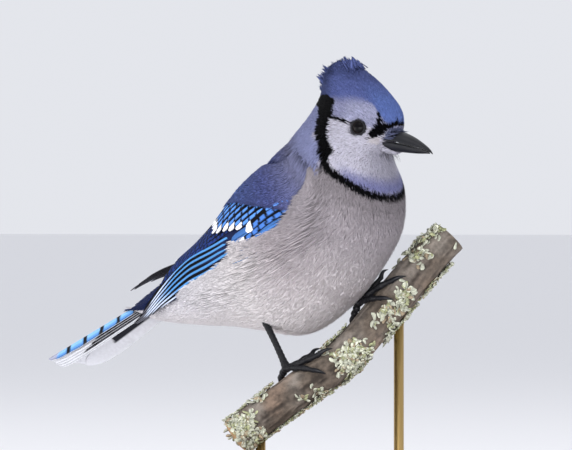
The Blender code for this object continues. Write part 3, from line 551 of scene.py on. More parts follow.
def branch_bark():
    """Bark of a young hardwood branch: grey-brown, mottled, cracked along its length and dull."""
    made, tree = new_material("weathered bark")
    mark = add(tree, "Attribute", "Color", attribute_name="marking")
    place = add(tree, "TexCoord", "Object")
    noise = {"Vector": place, "Scale": 1 / (3.5 * MM), "Detail": 8.0, "Roughness": 0.7}
    grain = add(tree, "TexNoise", "Fac", noise)
    span = {"From Min": 0.3, "From Max": 0.72, "To Min": 0.5, "To Max": 1.4}
    level = add(tree, "MapRange", "Result", {"Value": grain, **span})
    mixed = add(tree, "VectorMath", "Vector", {0: mark, "Scale": level}, operation="SCALE")
    bump = add(tree, "Bump", "Normal", {"Height": grain, "Strength": 0.7, "Distance": 0.6 * MM})
    return finished(made, {"Base Color": mixed, "Normal": bump, "Roughness": 0.88})


def leafy_lichen():
    """Leafy lichen: pale grey-green crust with a powdery face, matt."""
    made, tree = new_material("leafy lichen")
    mark = add(tree, "Attribute", "Color", attribute_name="marking")
    place = add(tree, "TexCoord", "Object")
    powder = add(tree, "TexNoise", "Fac", {"Vector": place, "Scale": 1 / (1.2 * MM), "Detail": 4.0})
    span = {"From Min": 0.3, "From Max": 0.7, "To Min": 0.75, "To Max": 1.15}
    level = add(tree, "MapRange", "Result", {"Value": powder, **span})
    mixed = add(tree, "VectorMath", "Vector", {0: mark, "Scale": level}, operation="SCALE")
    return finished(made, {"Base Color": mixed, "Roughness": 0.9})


def turned_walnut(colour):
    """Turned and oiled walnut: dark brown with growth rings about 3 mm apart and a satin face."""
    made, tree = new_material("turned walnut")
    place = add(tree, "TexCoord", "Object")
    drawn = add(tree, "Mapping", "Vector", {"Vector": place, "Scale": (1.0, 0.12, 1.0)})
    wave = {"Vector": drawn, "Scale": 1 / (9 * MM), "Distortion": 6.0, "Detail": 3.0}
    rings = add(tree, "TexWave", "Fac", wave)
    pores = add(tree, "TexNoise", "Fac", {"Vector": drawn, "Scale": 1 / (1.5 * MM), "Detail": 4.0})
    tones = {0: rings, 6: opaque(colour * 0.55), 7: opaque(colour * 1.3)}
    tone = add(tree, "Mix", 2, tones, data_type="RGBA")
    span = {"From Min": 0.3, "From Max": 0.7, "To Min": 0.75, "To Max": 1.1}
    level = add(tree, "MapRange", "Result", {"Value": pores, **span})
    mixed = add(tree, "VectorMath", "Vector", {0: tone, "Scale": level}, operation="SCALE")
    bump = add(tree, "Bump", "Normal", {"Height": pores, "Strength": 0.15, "Distance": 0.1 * MM})
    return finished(made, {"Base Color": mixed, "Normal": bump, "Roughness": 0.42})


def brushed_brass():
    """Drawn brass rod: yellow metal with fine lines along it, slightly dulled."""
    made, tree = new_material("drawn brass")
    place = add(tree, "TexCoord", "Object")
    drawn = add(tree, "Mapping", "Vector", {"Vector": place, "Scale": (1.0, 1.0, 0.03)})
    lines = add(tree, "TexNoise", "Fac", {"Vector": drawn, "Scale": 1 / (0.4 * MM), "Detail": 2.0})
    tones = {0: lines, 6: opaque(linear("#A88A52")), 7: opaque(linear("#CDB078"))}
    tone = add(tree, "Mix", 2, tones, data_type="RGBA")
    gloss = add(tree, "MapRange", "Result", {"Value": lines, "To Min": 0.26, "To Max": 0.42})
    return finished(made, {"Base Color": tone, "Roughness": gloss, "Metallic": 1.0})


def pale_paper(colour):
    """Matt paper under the stand: nearly even, with a faint mottle about 2.5 mm across."""
    made, tree = new_material("pale paper floor")
    place = add(tree, "TexCoord", "Object")
    grain = add(tree, "TexNoise", "Fac", {"Vector": place, "Scale": 1 / (2.5 * MM)})
    tones = {0: grain, 6: opaque(colour * 0.98), 7: opaque(colour)}
    tone = add(tree, "Mix", 2, tones, data_type="RGBA")
    look = {"Roughness": 0.9, "Specular IOR Level": 0.1}
    return finished(made, {"Base Color": tone, **look})


def placed(name, data):
    """A new object with that data, linked to the scene."""
    made = bpy.data.objects.new(name, data)
    bpy.context.scene.collection.objects.link(made)
    return made


def mesh_piece(name, points, faces, material, marking=None, maps=None, smooth=True):
    """A mesh object from points in millimetres and an array of faces with equal corners.
    marking is one linear colour or one for each point, and maps are UV places for each point."""
    points = np.ascontiguousarray(points, float).reshape(-1, 3)
    faces = np.ascontiguousarray(faces, np.int32)
    mesh = bpy.data.meshes.new(name)
    mesh.vertices.add(len(points))
    mesh.vertices.foreach_set("co", (points * MM).astype(np.float32).ravel())
    mesh.loops.add(faces.size)
    mesh.loops.foreach_set("vertex_index", faces.ravel())
    mesh.polygons.add(len(faces))
    starts = np.arange(len(faces), dtype=np.int32) * faces.shape[1]
    mesh.polygons.foreach_set("loop_start", starts)
    mesh.update(calc_edges=True)
    if smooth:
        mesh.shade_smooth()
    for title, places in (maps or {}).items():
        corners = places.reshape(-1, 2)[faces.ravel()].astype(np.float32)
        mesh.uv_layers.new(name=title).data.foreach_set("uv", corners.ravel())
    if marking is not None:
        colours = np.ones((len(points), 4), np.float32)
        colours[:, :3] = np.asarray(marking).reshape(-1, 3)
        layer = mesh.color_attributes.new(name="marking", type="FLOAT_COLOR", domain="POINT")
        layer.data.foreach_set("color", colours.ravel())
    mesh.materials.append(material)
    made = placed(name, mesh)
    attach(made, "root")
    return made


def grid_faces(rows, columns, closed=True):
    """Quads of a grid, closed round its columns or open."""
    i = np.arange(rows - 1)[:, None]
    j = np.arange(columns if closed else columns - 1)[None, :]
    a = i * columns + j
    b = i * columns + (j + 1) % columns
    return np.stack([a, b, b + columns, a + columns], axis=-1).reshape(-1, 4)


def tube_piece(name, rings, material, marking=None, maps=None, reverse=False):
    """A closed tube: rings of points, drawn together to one point at each end."""
    rings = np.asarray(rings, float)
    count, segments = rings.shape[:2]
    ends = [np.repeat(r.mean(axis=0)[None], segments, axis=0)[None] for r in (rings[0], rings[-1])]
    points = np.concatenate([ends[0], rings, ends[1]])
    faces = grid_faces(count + 2, segments)
    if reverse:
        faces = faces[:, ::-1]
    if marking is not None:
        marking = np.concatenate([marking[:1], marking, marking[-1:]])
    if maps is not None:
        maps = {key: np.concatenate([m[:1], m, m[-1:]]) for key, m in maps.items()}
    return mesh_piece(name, points, faces, material, marking, maps)


def joined_piece(name, sets, material, smooth=True):
    """One mesh object from several (points, faces, marking, maps) sets, faces renumbered."""
    points, faces, markings, maps = zip(*sets)
    starts = np.cumsum([0] + [len(part) for part in points[:-1]])
    faces = np.concatenate([part + start for part, start in zip(faces, starts)])
    maps = {key: np.concatenate([part[key] for part in maps]) for key in maps[0]}
    marking = np.concatenate(markings)
    return mesh_piece(name, np.concatenate(points), faces, material, marking, maps, smooth)


def skin_place(position, angle):
    """A place on the unwrap of the skin: across by angle and up by rib."""
    across, up = angle / UNWRAP_TURN + 0.5, (position - UNWRAP_START) / UNWRAP_RIBS
    return np.stack([across, up], axis=-1)


def make_skin(material, tones):
    """The skin: the body's surface less the coat's depth, from the tail's root to the crest."""
    position = np.linspace(0.2, TOP_RIB, 210)[:, None]
    angle = np.linspace(-180, 180, 144, endpoint=False)[None, :]
    position, angle = np.broadcast_arrays(position, angle)
    points = body_surface(position, angle, -coat_depth(position, angle))
    # Painted shade: the skin, seen only between the tufts, takes the markings darker than the coat
    # over it.
    colours = coat_colour(position, angle, tones) * 0.85
    places = skin_place(position, angle)
    maps = {"feather": places, "OFBake": places}
    made = tube_piece("skin", points, material, colours, maps, reverse=True)
    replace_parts(made, "torso", "neck", "head")


def tuft_set(path, side, up, half, ridge, marking, place, rings=3):
    """Tapered tufts, each a closed strand of three sides: path is (tuft, 4, 3) with its tip last.
    The two edges lie half a breadth out, and the third runs along the top as a ridge. With two
    rings the second step of the path is left out."""
    count = len(path)
    steps = [0, 1, 2] if rings == 3 else [0, 2]
    shares = np.array([0.7, 1.0, 0.8])[steps]
    across = half[:, None, None] * shares[None, :, None] * side[:, None]
    crown = path[:, steps] + (ridge[:, None] * shares[None, :])[..., None] * up[:, None]
    loops = np.stack([path[:, steps] - across, crown, path[:, steps] + across], axis=2)
    points = np.concatenate([loops.reshape(count, 3 * rings, 3), path[:, 3:4]], axis=1)
    strand = []
    for i in range(rings - 1):
        for j in range(3):
            a, b = 3 * i + j, 3 * i + (j + 1) % 3
            strand += [(a, a + 3, b), (b, a + 3, b + 3)]
    last = 3 * rings - 3
    strand += [(last + j, last + 3, last + (j + 1) % 3) for j in range(3)] + [(0, 1, 2)]
    strand = np.array(strand)[:, ::-1]
    faces = (np.arange(count)[:, None, None] * (3 * rings + 1) + strand[None]).reshape(-1, 3)
    # Painted shade and light along each tuft: its root, down among the others, is painted darker
    # and its tip lighter.
    shade = np.repeat(np.array([0.7, 0.98, 1.03])[steps], 3)
    shade = np.append(shade, 1.1)
    colours = marking[:, None, :] * shade[None, :, None]
    rows = np.array([-1, 0, 0.6])[steps]
    offset = np.array([(x, y) for y in rows for x in (-1, 0, 1)] + [(0, 1)]) * 0.0015
    places = place[:, None, :] + offset[None]
    flow = np.broadcast_to(offset[None] * 2000, places.shape)
    maps = {"feather": flow.reshape(-1, 2), "OFBake": places.reshape(-1, 2)}
    return points.reshape(-1, 3), faces, colours.reshape(-1, 3), maps


def scatter(count, chance, low, high, angle_low, angle_high):
    """Places on the body, even by area, between ribs and between angles from the back: cells of a
    grid picked by their area, a random place in each, and either side of the body."""
    rows, columns = 240, 180
    position = np.linspace(low, high, rows)[:, None]
    angle = np.linspace(angle_low, angle_high, columns)[None, :]
    position, angle = np.broadcast_arrays(position, angle)
    _, along, around, _ = body_frame(position, angle)
    weight = np.linalg.norm(np.cross(along, around), axis=-1)
    weight = weight.ravel() / weight.sum()
    cell = chance.choice(weight.size, size=count, p=weight)
    step_p = (high - low) / (rows - 1)
    step_a = (angle_high - angle_low) / (columns - 1)
    found = position.ravel()[cell] + chance.uniform(-0.5, 0.5, count) * step_p
    turn = angle.ravel()[cell] + chance.uniform(-0.5, 0.5, count) * step_a
    turn = turn * chance.choice([-1.0, 1.0], count)
    return found, turn


def lie_of_coat(position, angle):
    """The surface's two tangents and normal, and which way feathers point: away from the bill on
    the head, and towards the tail on the body."""
    here, along, around, normal = body_frame(position, angle)
    away = unit(here - turned(np.array(BILL_ROOT), 1.0))
    back = -unit(along) + np.array([0.0, 0.0, -0.12])
    share = eased((position - 9.2) / 3.0)[..., None]
    lie = away * share + unit(back) * (1 - share)
    return along, around, normal, unit(squared(lie, normal))


def tuft_paths(position, angle, length, rise, bend=0.0):
    """Paths of tufts on the body: four points along the lie, from the skin up to the rise given.
    A length in mm is solved for steps of rib and angle by the surface's tangents. Also gives each
    one's side and upward way, and the rib and angle of its third point."""
    along, around, normal, lie = lie_of_coat(position, angle)
    goal = lie * length[:, None]
    aa, bb, ab = dot(along, along), dot(around, around), dot(along, around)
    ga, gb = dot(goal, along), dot(goal, around)
    det = aa * bb - ab * ab
    step_p = (ga * bb - gb * ab) / det
    step_a = (gb * aa - ga * ab) / det
    along_p = np.clip(position[:, None] + step_p[:, None] * TUFT_STEPS, -0.9, TOP_RIB + 1.4)
    along_a = angle[:, None] + step_a[:, None] * TUFT_STEPS
    along_a = along_a + np.asarray(bend)[..., None] * TUFT_STEPS**2
    low = -coat_depth(position, angle)[:, None] - 0.3
    height = low + (rise[:, None] - low) * TUFT_STEPS**0.8
    path = body_surface(along_p, along_a, height)
    side = unit(np.cross(normal, lie))
    return path, side, normal, along_p[:, 2], along_a[:, 2]


def under_wing(position, angle, margin=0.1):
    """True where a folded wing covers the body."""
    covered = np.zeros(position.shape, bool)
    for side, (start, end, lower, upper) in WINGS.items():
        s = (start - position) / (start - end)
        at = np.clip(s, 0, 1) * 4
        low = np.interp(at, range(5), lower)
        high = np.interp(at, range(5), upper)
        turn = angle * -side
        t = (turn - low) / (high - low)
        covered |= (s > 0.04) & (s < 0.98) & (t > margin) & (t < 1 - margin) & (turn > -10)
    return covered


def eye_centre(side):
    """Centre of the right (-1) or left (1) eye."""
    return turned(np.array([EYE_CENTRE[0], side * EYE_CENTRE[1], EYE_CENTRE[2]]), 1.0)


def eye_clear(path):
    """True for tufts that keep off the eye on their own side."""
    keep = np.ones(len(path), bool)
    for side in (-1, 1):
        flat = path - eye_centre(side)
        reach = np.hypot(flat[..., 0], flat[..., 2])
        near = (reach < EYE_CLEAR).any(axis=1) & (np.sign(path[:, 0, 1]) == side)
        keep &= ~near
    return keep


def coat_piece(name, material, tones, seed, count, ribs, angles, length, half, rise, spread):
    """One piece of the coat: tufts scattered between ribs and angles, coloured by the markings.
    length and half say whether they go by rib or angle, with its stops and the sizes there in mm.
    rise is stops of rib and of the tips' height in mm."""
    chance = np.random.default_rng(seed)
    position, angle = scatter(count, chance, *ribs, *angles)

    def between(stops):
        """The size at each tuft's rib or angle."""
        by, at, sizes = stops
        return np.interp(position if by == "rib" else np.abs(angle), at, sizes)

    size = between(length) * chance.uniform(0.75, 1.2, count)
    lift = np.interp(position, *rise) + chance.normal(0, 0.12, count) * np.minimum(size / 6, 1.5)
    bend = chance.normal(0, 1.6, count)
    path, side, normal, middle_p, middle_a = tuft_paths(position, angle, size, lift, bend)
    breadth = between(half) * chance.uniform(0.7, 1.25, count)
    keep = ~under_wing(position, angle) & eye_clear(path)
    colour = coat_colour(middle_p, middle_a, tones, chance)
    colour = colour * chance.lognormal(0, spread, count)[:, None]
    ridge = breadth * (SOFT_RIDGE if name in SOFT_COATS else TUFT_RIDGE)
    parts = (path, side, normal, breadth, ridge, colour, skin_place(position, angle))
    tufts = tuft_set(*(part[keep] for part in parts), 2)
    joined_piece(name, [tufts], material, smooth=False)


# Pieces of the coat: name, count, ribs, angles, stops of length and of half breadth, stops of the
# tips' rise by rib, and the spread of their tone.
COAT_PIECES = (
    ("coat_face", 17500, (9.6, 15.2), (60, 180),
     ("angle", (60, 120, 150, 180), (4.4, 3.4, 2.6, 2.4)),
     ("angle", (60, 130, 180), (0.27, 0.2, 0.18)), ((9, 15), (0.05, 0.05)), 0.13),
    ("coat_crown", 16000, (13.4, 19.0), (0, 180), ("rib", (13.4, 16, 18, 19), (4.2, 6.0, 7.0, 6.0)),
     ("rib", (13, 19), (0.27, 0.3)), ((14.5, 16, 17.5, 19), (0.1, 1.2, 2.2, 2.4)), 0.13),
    ("coat_nape", 10500, (9.6, 14.4), (0, 84), ("rib", (9, 14), (6.5, 5.0)),
     ("rib", (9, 14), (0.34, 0.3)), ((9, 14), (0.1, 0.1)), 0.1),
    ("coat_throat", 16000, (9.2, 12.4), (104, 180), ("rib", (9.2, 10.5, 12.4), (6.0, 5.4, 3.0)),
     ("rib", (9, 12), (0.24, 0.2)), ((9, 12), (0.2, 0.2)), 0.11),
    ("coat_breast", 19000, (6.6, 9.4), (84, 180), ("rib", (6, 9), (10.5, 8.5)),
     ("rib", (6, 9), (0.3, 0.27)), ((6, 9), (0.1, 0.1)), 0.05),
    ("coat_belly", 19000, (3.8, 6.9), (84, 180), ("rib", (3, 7), (13.0, 11.5)),
     ("rib", (3, 7), (0.32, 0.3)), ((3, 7), (0.1, 0.1)), 0.03),
    ("coat_vent", 14000, (0.0, 4.2), (66, 180), ("rib", (0, 2, 4), (8.0, 13.0, 14.0)),
     ("rib", (0, 4), (0.36, 0.34)), ((0, 4), (0.1, 0.15)), 0.03),
    ("coat_mantle", 11000, (5.0, 10.2), (0, 98), ("rib", (5, 8, 10.4), (11.0, 9.0, 6.5)),
     ("rib", (5, 8, 10.4), (0.6, 0.5, 0.4)), ((5, 10), (0.15, 0.15)), 0.09),
    ("coat_rump", 4500, (0.4, 5.4), (0, 78), ("rib", (0, 2, 5), (3.0, 10.0, 12.0)),
     ("rib", (0, 5), (0.7, 0.7)), ((0, 5), (0.0, 0.1)), 0.09),
)


def make_coat(material, tones, scale):
    """The small feathers of head and body, as tufts: fine on the face, long on breast and belly."""
    for seed, (name, count, ribs, angles, (by, at, sizes), *rest) in enumerate(COAT_PIECES, 11):
        length = (by, at, np.array(sizes) * scale)
        coat_piece(name, material, tones, seed, count, ribs, angles, length, *rest)


def wing_guide(side, s, t, height):
    """A point of the folded wing: s runs from wrist to tip, t from lower to upper edge."""
    start, end, lower, upper = WINGS[side]
    s, t = np.broadcast_arrays(np.asarray(s, float), np.asarray(t, float))
    rows = RIBS[:10].copy()
    axis = rows[:, [0, 1]] - rows[:, [2, 3]]
    length = np.linalg.norm(axis, axis=1)[:, None]
    rows[:, [0, 1]] += WING_LIFT * axis / length
    rows[:, [2, 3]] -= WING_LIFT * axis / length
    rows[:, 4] += WING_LIFT
    rows[:4] = GUIDE_REAR[side]
    angle_table = np.array([lower, upper], float).T

    def point(s_now, t_now):
        """The guide's own surface, with no height."""
        position = start + (end - start) * s_now.ravel()
        row = smooth_rows(rows, np.maximum(position, 0.0))
        angles = smooth_rows(angle_table, np.clip(s_now.ravel(), -0.1, 1.1) * 4)
        angle = np.radians(angles[:, 0] + (angles[:, 1] - angles[:, 0]) * t_now.ravel())
        found = rib_points(row, angle)
        found[:, 1] *= -side
        return found.reshape(s_now.shape + (3,))

    here = point(s, t)
    along = point(s + 1e-3, t) - here
    across = unit(point(s, t + 1e-3) - here)
    normal = unit(np.cross(along, across) * side)
    return here + normal * height[..., None], across, normal


def plate_faces(rows, columns):
    """Quads of a thin closed plate: its top grid, its bottom grid and the rim between them."""
    top = grid_faces(rows, columns, closed=False)
    under = rows * columns
    bottom = top[:, ::-1] + under
    rim = [i * columns for i in range(rows)]
    rim += [(rows - 1) * columns + j for j in range(1, columns)]
    rim += [i * columns + columns - 1 for i in range(rows - 2, -1, -1)]
    rim += list(range(columns - 2, 0, -1))
    rim = np.array(rim)
    after = np.roll(rim, -1)
    edge = np.stack([rim, rim + under, after + under, after], axis=-1)
    return np.concatenate([top, bottom, edge])


# Shares of the length, and of the breadth there, of a long feather, of a covert, of the narrow
# outer web of a primary and of a tail feather.
LONG_FORM = ((0.0, 0.1, 0.4, 0.8, 0.92, 0.97, 1.0), (0.45, 0.7, 1.0, 0.95, 0.74, 0.48, 0.1))
ROUND_FORM = ((0.0, 0.3, 0.7, 0.9, 0.97, 1.0), (0.6, 0.9, 1.0, 0.95, 0.7, 0.2))
SPEAR_FORM = ((0.0, 0.15, 0.4, 0.6, 0.8, 0.95, 1.0), (0.8, 1.0, 1.0, 0.8, 0.54, 0.44, 0.2))
TAIL_FORM = ((0.0, 0.1, 0.4, 0.75, 0.9, 0.97, 1.0), (0.5, 0.62, 0.86, 1.0, 0.8, 0.45, 0.08))
# Places across a vane, from the edge of its outer web to the edge of its inner web.
VANE_COLUMNS = np.array([-1.0, -0.7, -0.35, -0.06, 0.08, 0.35, 0.7, 1.0])


def stations(count):
    """Shares along a feather, closer together towards its tip."""
    return 1 - (1 - np.linspace(0, 1, count)) ** 1.35


def vane_set(place, rows, webs, form, lift, marking, number, total):
    """One feather as a thin plate on a surface. place(share, sideways, height) gives its points in
    mm. A spear form is for the outer web alone. webs are the breadths of its outer and inner web,
    and lift is its camber, the rise of its outer edge and its thickness."""
    columns = len(VANE_COLUMNS)
    share = stations(rows)
    outer, inner = webs
    camber, rise, thick = lift
    u = np.broadcast_to(VANE_COLUMNS[None, :], (rows, columns))
    rear = LONG_FORM if form is SPEAR_FORM else form
    wide = outer * np.interp(share, *form)[:, None] * np.minimum(u, 0)
    wide = wide + inner * np.interp(share, *rear)[:, None] * np.maximum(u, 0)
    height = camber * (1 - u * u) - rise * u
    height = height * np.interp(share, (0, 0.5, 1), (1, 1, 0.6))[:, None]
    top = place(share[:, None], wide, height)
    bottom = place(share[:, None], wide, height - thick)
    shaft = top[:, 3]
    length = np.concatenate([[0], np.cumsum(np.linalg.norm(np.diff(shaft, axis=0), axis=1))])
    d = np.broadcast_to((length[-1] - length)[:, None], (rows, columns))
    colours = [marking(u, d, wide, under).reshape(-1, 3) for under in (False, True)]
    flow = np.stack([np.abs(wide), d + np.abs(wide)], axis=-1).reshape(-1, 2)
    cells = math.ceil(math.sqrt(2 * total))
    inside = np.stack([(u + 1) / 2, d / max(length[-1], 1e-6)], axis=-1)
    inside = inside.reshape(-1, 2) * 0.9 + 0.05
    atlas = [(inside + (k % cells, k // cells)) / cells for k in (2 * number, 2 * number + 1)]
    maps = {"feather": np.concatenate([flow, flow]), "OFBake": np.concatenate(atlas)}
    faces = plate_faces(rows, columns)
    middle = rows // 2
    over = np.cross(top[middle, 5] - top[middle, 2], top[middle + 1, 3] - top[middle, 3])
    if over @ (top[middle, 3] - bottom[middle, 3]) < 0:
        faces = faces[:, ::-1]
    points = np.concatenate([top.reshape(-1, 3), bottom.reshape(-1, 3)])
    return points, faces, np.concatenate(colours), maps


BLACK, SNOW, SLATE = linear("#08080C"), linear("#F7F7FA"), linear("#4C4B52")


def webbed(chance, tones, bars=None, white=0.0, inner_black=True, edge=0.0):
    """Marking of a wing feather. tones are (distance from the tip, colour) stops of its outer web,
    bars are the period and the share of black bars, white is the length of a white tip, and edge
    is the black rim of the outer web. Shaft and inner web are black where inner_black is true."""
    reach = [stop for stop, _ in tones]
    table = np.array([colour for _, colour in tones])
    level, shift = chance.lognormal(0, 0.07), chance.uniform(-0.5, 0.5)
    seed = int(chance.integers(1, 10000))

    def marking(u, d, wide, under):
        grain = lattice_noise(np.stack([wide * 2, d, 0 * d], axis=-1), 1.6, seed)
        colour = np.stack([np.interp(d, reach, table[:, k]) for k in range(3)], axis=-1) * level
        colour = colour * (1 + 0.1 * grain[..., None]) * (1.12 - 0.25 * np.abs(u + 0.5))[..., None]
        if bars:
            period, dark = bars
            phase = (d - white + shift * 0.3 + 0.3 * np.abs(wide) + 0.12 * grain) % period
            colour = over_to(colour, BLACK, eased((period * dark - phase) / 0.5 + 0.5))
        if inner_black:
            colour = over_to(colour, BLACK, eased((u + 0.02) / 0.06))
        else:
            colour = over_to(colour, BLACK, eased((0.22 - np.abs(wide)) / 0.12))
        if edge:
            colour = over_to(colour, BLACK, eased((np.abs(u) - 1 + edge) / 0.12))
        if white:
            colour = over_to(colour, SNOW, eased((white + 0.4 * grain - d) / 0.5 + 0.5))
        if under:
            colour = 0.25 * colour + 0.75 * SLATE
        return colour

    return marking


# Tiers of one wing, from under to over. Each has its kind, count, stops of its roots and of its
# tips as (s, t) from the first feather to the last, webs in mm, heights at the root and at the tips
# of the first and the last, its form, rows and lift.
WING_TIERS = (
    ("primary", 6, ((0.3, 0.0), (0.34, 0.2)), ((0.95, 0.1), (1.06, 0.35), (0.99, 0.6)), (1.2, 2.3),
     (-0.4, -0.5, 0.7), SPEAR_FORM, 72, (0.1, 0.12, 0.22)),
    ("secondary", 5, ((0.38, 0.34), (0.42, 0.6)), ((0.9, 0.56), (0.8, 0.74)), (2.1, 3.0),
     (0.2, 0.6, 1.0), LONG_FORM, 56, (0.15, 0.15, 0.25)),
    ("tertial", 3, ((0.42, 0.64), (0.4, 0.88)), ((0.8, 0.78), (0.62, 0.94)), (3.0, 3.2),
     (0.5, 1.0, 1.5), LONG_FORM, 56, (0.25, 0.15, 0.3)),
    ("primary covert", 4, ((0.12, 0.06), (0.12, 0.16)), ((0.4, 0.1), (0.42, 0.2)), (2.4, 3.0),
     (-0.8, 0.5, 0.9), ROUND_FORM, 40, (0.3, 0.2, 0.3)),
    ("outer covert", 2, ((0.06, 0.2), (0.08, 0.3)), ((0.38, 0.14), (0.33, 0.21)), (2.6, 3.0),
     (0.5, 1.0, 1.2), ROUND_FORM, 40, (0.3, 0.2, 0.3)),
    ("greater covert", 8, ((0.16, 0.34), (0.32, 0.56), (0.36, 0.78)),
     ((0.375, 0.29), (0.52, 0.46), (0.55, 0.7)), (1.95, 2.6), (0.5, 1.1, 1.6), ROUND_FORM, 40,
     (0.2, 0.3, 0.3)),
    ("median covert", 7, ((0.1, 0.32), (0.22, 0.84)), ((0.2, 0.3), (0.41, 0.8)), (1.8, 2.6),
     (0.7, 1.2, 1.6), ROUND_FORM, 40, (0.2, 0.3, 0.3)),
)
# The t of the first and the last primary along s, from where it starts and in what steps.
PRIMARY_FROM, PRIMARY_STEP = 0.3, 0.18
PRIMARY_BEND = np.array([[-0.05, 0.24], [0.04, 0.32], [0.0, 0.4], [0.02, 0.44], [0.36, 0.74]])


def wing_marking(kind, chance, blues):
    """The marking that a tier's feathers carry."""
    primary, secondary, covert = blues
    pale, slate = linear("#CBD6EC"), linear("#5A5A62")
    if kind == "primary":
        stops = ((0, slate), (8, slate), (11, pale * 0.7), (20, pale), (36, primary))
        return webbed(chance, (*stops, (60, primary * 0.9)))
    tone, bars, white, inner_black, edge = {
        "secondary": (secondary, (3.4, 0.42), 0.0, True, 0.0),
        "tertial": (secondary * 1.3, (3.6, 0.42), 2.0, True, 0.12),
        "primary covert": (covert * 0.62, None, 0.0, False, 0.0),
        "median covert": (covert, (5.2, 0.27), 0.0, True, 0.12),
        "outer covert": (covert * (0.6, 0.62, 0.7), (5.3, 0.3), 4.6, True, 0.1),
        "greater covert": (covert, (5.4, 0.24), 4.8, True, 0.06),
    }[kind]
    return webbed(chance, ((0, tone), (1, tone)), bars, white, inner_black, edge)


def make_wing(side, name, node, material, blues):
    """The vanes of one folded wing, tier by tier. Each runs from its root to its tip over (s, t),
    a primary along its own bend, and its webs follow the wing's surface."""
    chance = np.random.default_rng(40 + side)
    total = sum(tier[1] for tier in WING_TIERS)
    sets = []

    def stop_at(k, ends):
        """The place at a share of the way along a tier's stops."""
        shares = np.linspace(0, 1, len(ends))
        return np.array([np.interp(k, shares, [end[c] for end in ends]) for c in (0, 1)])

    for kind, count, roots, tips, webs, (low, first, last), form, rows, lift in WING_TIERS:
        for i in range(count):
            k = i / (count - 1)
            root = stop_at(k, roots)
            tip = stop_at(k, tips) + chance.normal(0, 0.003, 2)
            end_height = first + (last - first) * k + chance.normal(0, 0.03)
            bend = PRIMARY_BEND[:, :1] * (1 - k) + PRIMARY_BEND[:, 1:] * k

            def place(share, wide, height):
                s = root[0] + (tip[0] - root[0]) * share
                t = root[1] + (tip[1] - root[1]) * share
                if kind == "primary":
                    step = np.clip((s.ravel() - PRIMARY_FROM) / PRIMARY_STEP, 0, 4.5)
                    t = smooth_rows(bend, step).reshape(s.shape)
                above, below = (wing_guide(side, s, t + by, 0 * s)[0] for by in (0.01, -0.01))
                scale = np.linalg.norm(above - below, axis=-1) / 0.02
                level = low + (end_height - low) * eased(share * 1.5)
                return wing_guide(side, s + 0 * wide, t + wide / scale, level + height)[0]

            size = chance.uniform(0.96, 1.04)
            mark = wing_marking(kind, chance, blues)
            breadths = (webs[0] * size, webs[1] * size)
            sets.append(vane_set(place, rows, breadths, form, lift, mark, len(sets), total))
    vanes = joined_piece(name, sets, material)
    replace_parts(vanes, node)


def make_wing_bed(side, name, material):
    """The dark bed under a wing's vanes, which closes the gaps between them: a plate over (s, t),
    thinner towards its rim."""
    along, t = np.meshgrid(np.linspace(0.0, 1.0, 40), np.linspace(0.06, 0.94, 24), indexing="ij")
    start = 0.1 * np.abs(2 * t - 0.9) ** 2.5
    s = start + (0.74 - start) * along
    rim = np.clip(5 * np.minimum(t, 1 - t), 0, 1) * np.clip(5 * along + 0.2, 0, 1)
    top = wing_guide(side, s, t, 0.5 * rim - 0.6)[0]
    bottom = wing_guide(side, s, t, 0 * s - 1.5)[0]
    faces = plate_faces(*s.shape)
    if side > 0:
        faces = faces[:, ::-1]
    bed = np.concatenate([top.reshape(-1, 3), bottom.reshape(-1, 3)])
    places = np.stack([s, t + (side > 0)], axis=-1).reshape(-1, 2) * 0.02
    maps = {"feather": bed[:, :2], "OFBake": np.concatenate([places, places + (0.03, 0.0)])}
    mesh_piece(name, bed, faces, material, linear("#182040"), maps)


def wing_tufts(side, s, t, step_s, step_t, heights, half, colour, place, ridge=TUFT_RIDGE):
    """Tufts on the folded wing: from (s, t) by (step_s, step_t) at four heights above it."""
    s_line = s[:, None] + step_s[:, None] * TUFT_STEPS
    t_line = t[:, None] + step_t[:, None] * TUFT_STEPS
    path, _, normal = wing_guide(side, s_line, t_line, heights)
    up = normal[:, 1]
    across = unit(np.cross(up, unit(path[:, 3] - path[:, 0])))
    return tuft_set(path, across, up, half, half * ridge, colour, place, 2)


# Where the mantle's feathers end over the wing by t, where they begin in front by s, and where the
# flank's feathers cover the wing's lower edge by s.
MANTLE_END = ((0.1, 0.2, 0.35, 0.5, 0.75, 1.0), (0.06, 0.12, 0.2, 0.3, 0.47, 0.52))
MANTLE_FRONT = ((-0.3, -0.15, -0.06, 0.0, 0.1, 0.15), (0.66, 0.5, 0.4, 0.32, 0.18, 0.12))
FLANK_COVER = ((-0.12, 0.0, 0.06, 0.12, 0.2, 0.3, 0.38, 0.44, 0.47, 0.6, 0.8),
               (0.36, 0.3, 0.24, 0.12, 0.0, 0.04, 0.12, 0.17, 0.08, 0.02, -0.02))
# How high the tips of both stand over the wing's guide, by s.
MANTLE_RISE = ((-0.15, 0.0, 0.13, 0.24), (-1.1, -0.3, 1.1, 2.1))
FLANK_RISE = ((-0.1, 0.0, 0.1, 0.2, 0.44, 0.5, 0.8), (-1.4, 0.2, 1.8, 2.1, 1.9, 0.9, 0.4))


def body_place(side, s, t):
    """The rib and the angle of a place on a folded wing."""
    start, end, lower, upper = WINGS[side]
    return start + (end - start) * s, -side * np.interp(t, (0, 1), (lower[1], upper[1]))


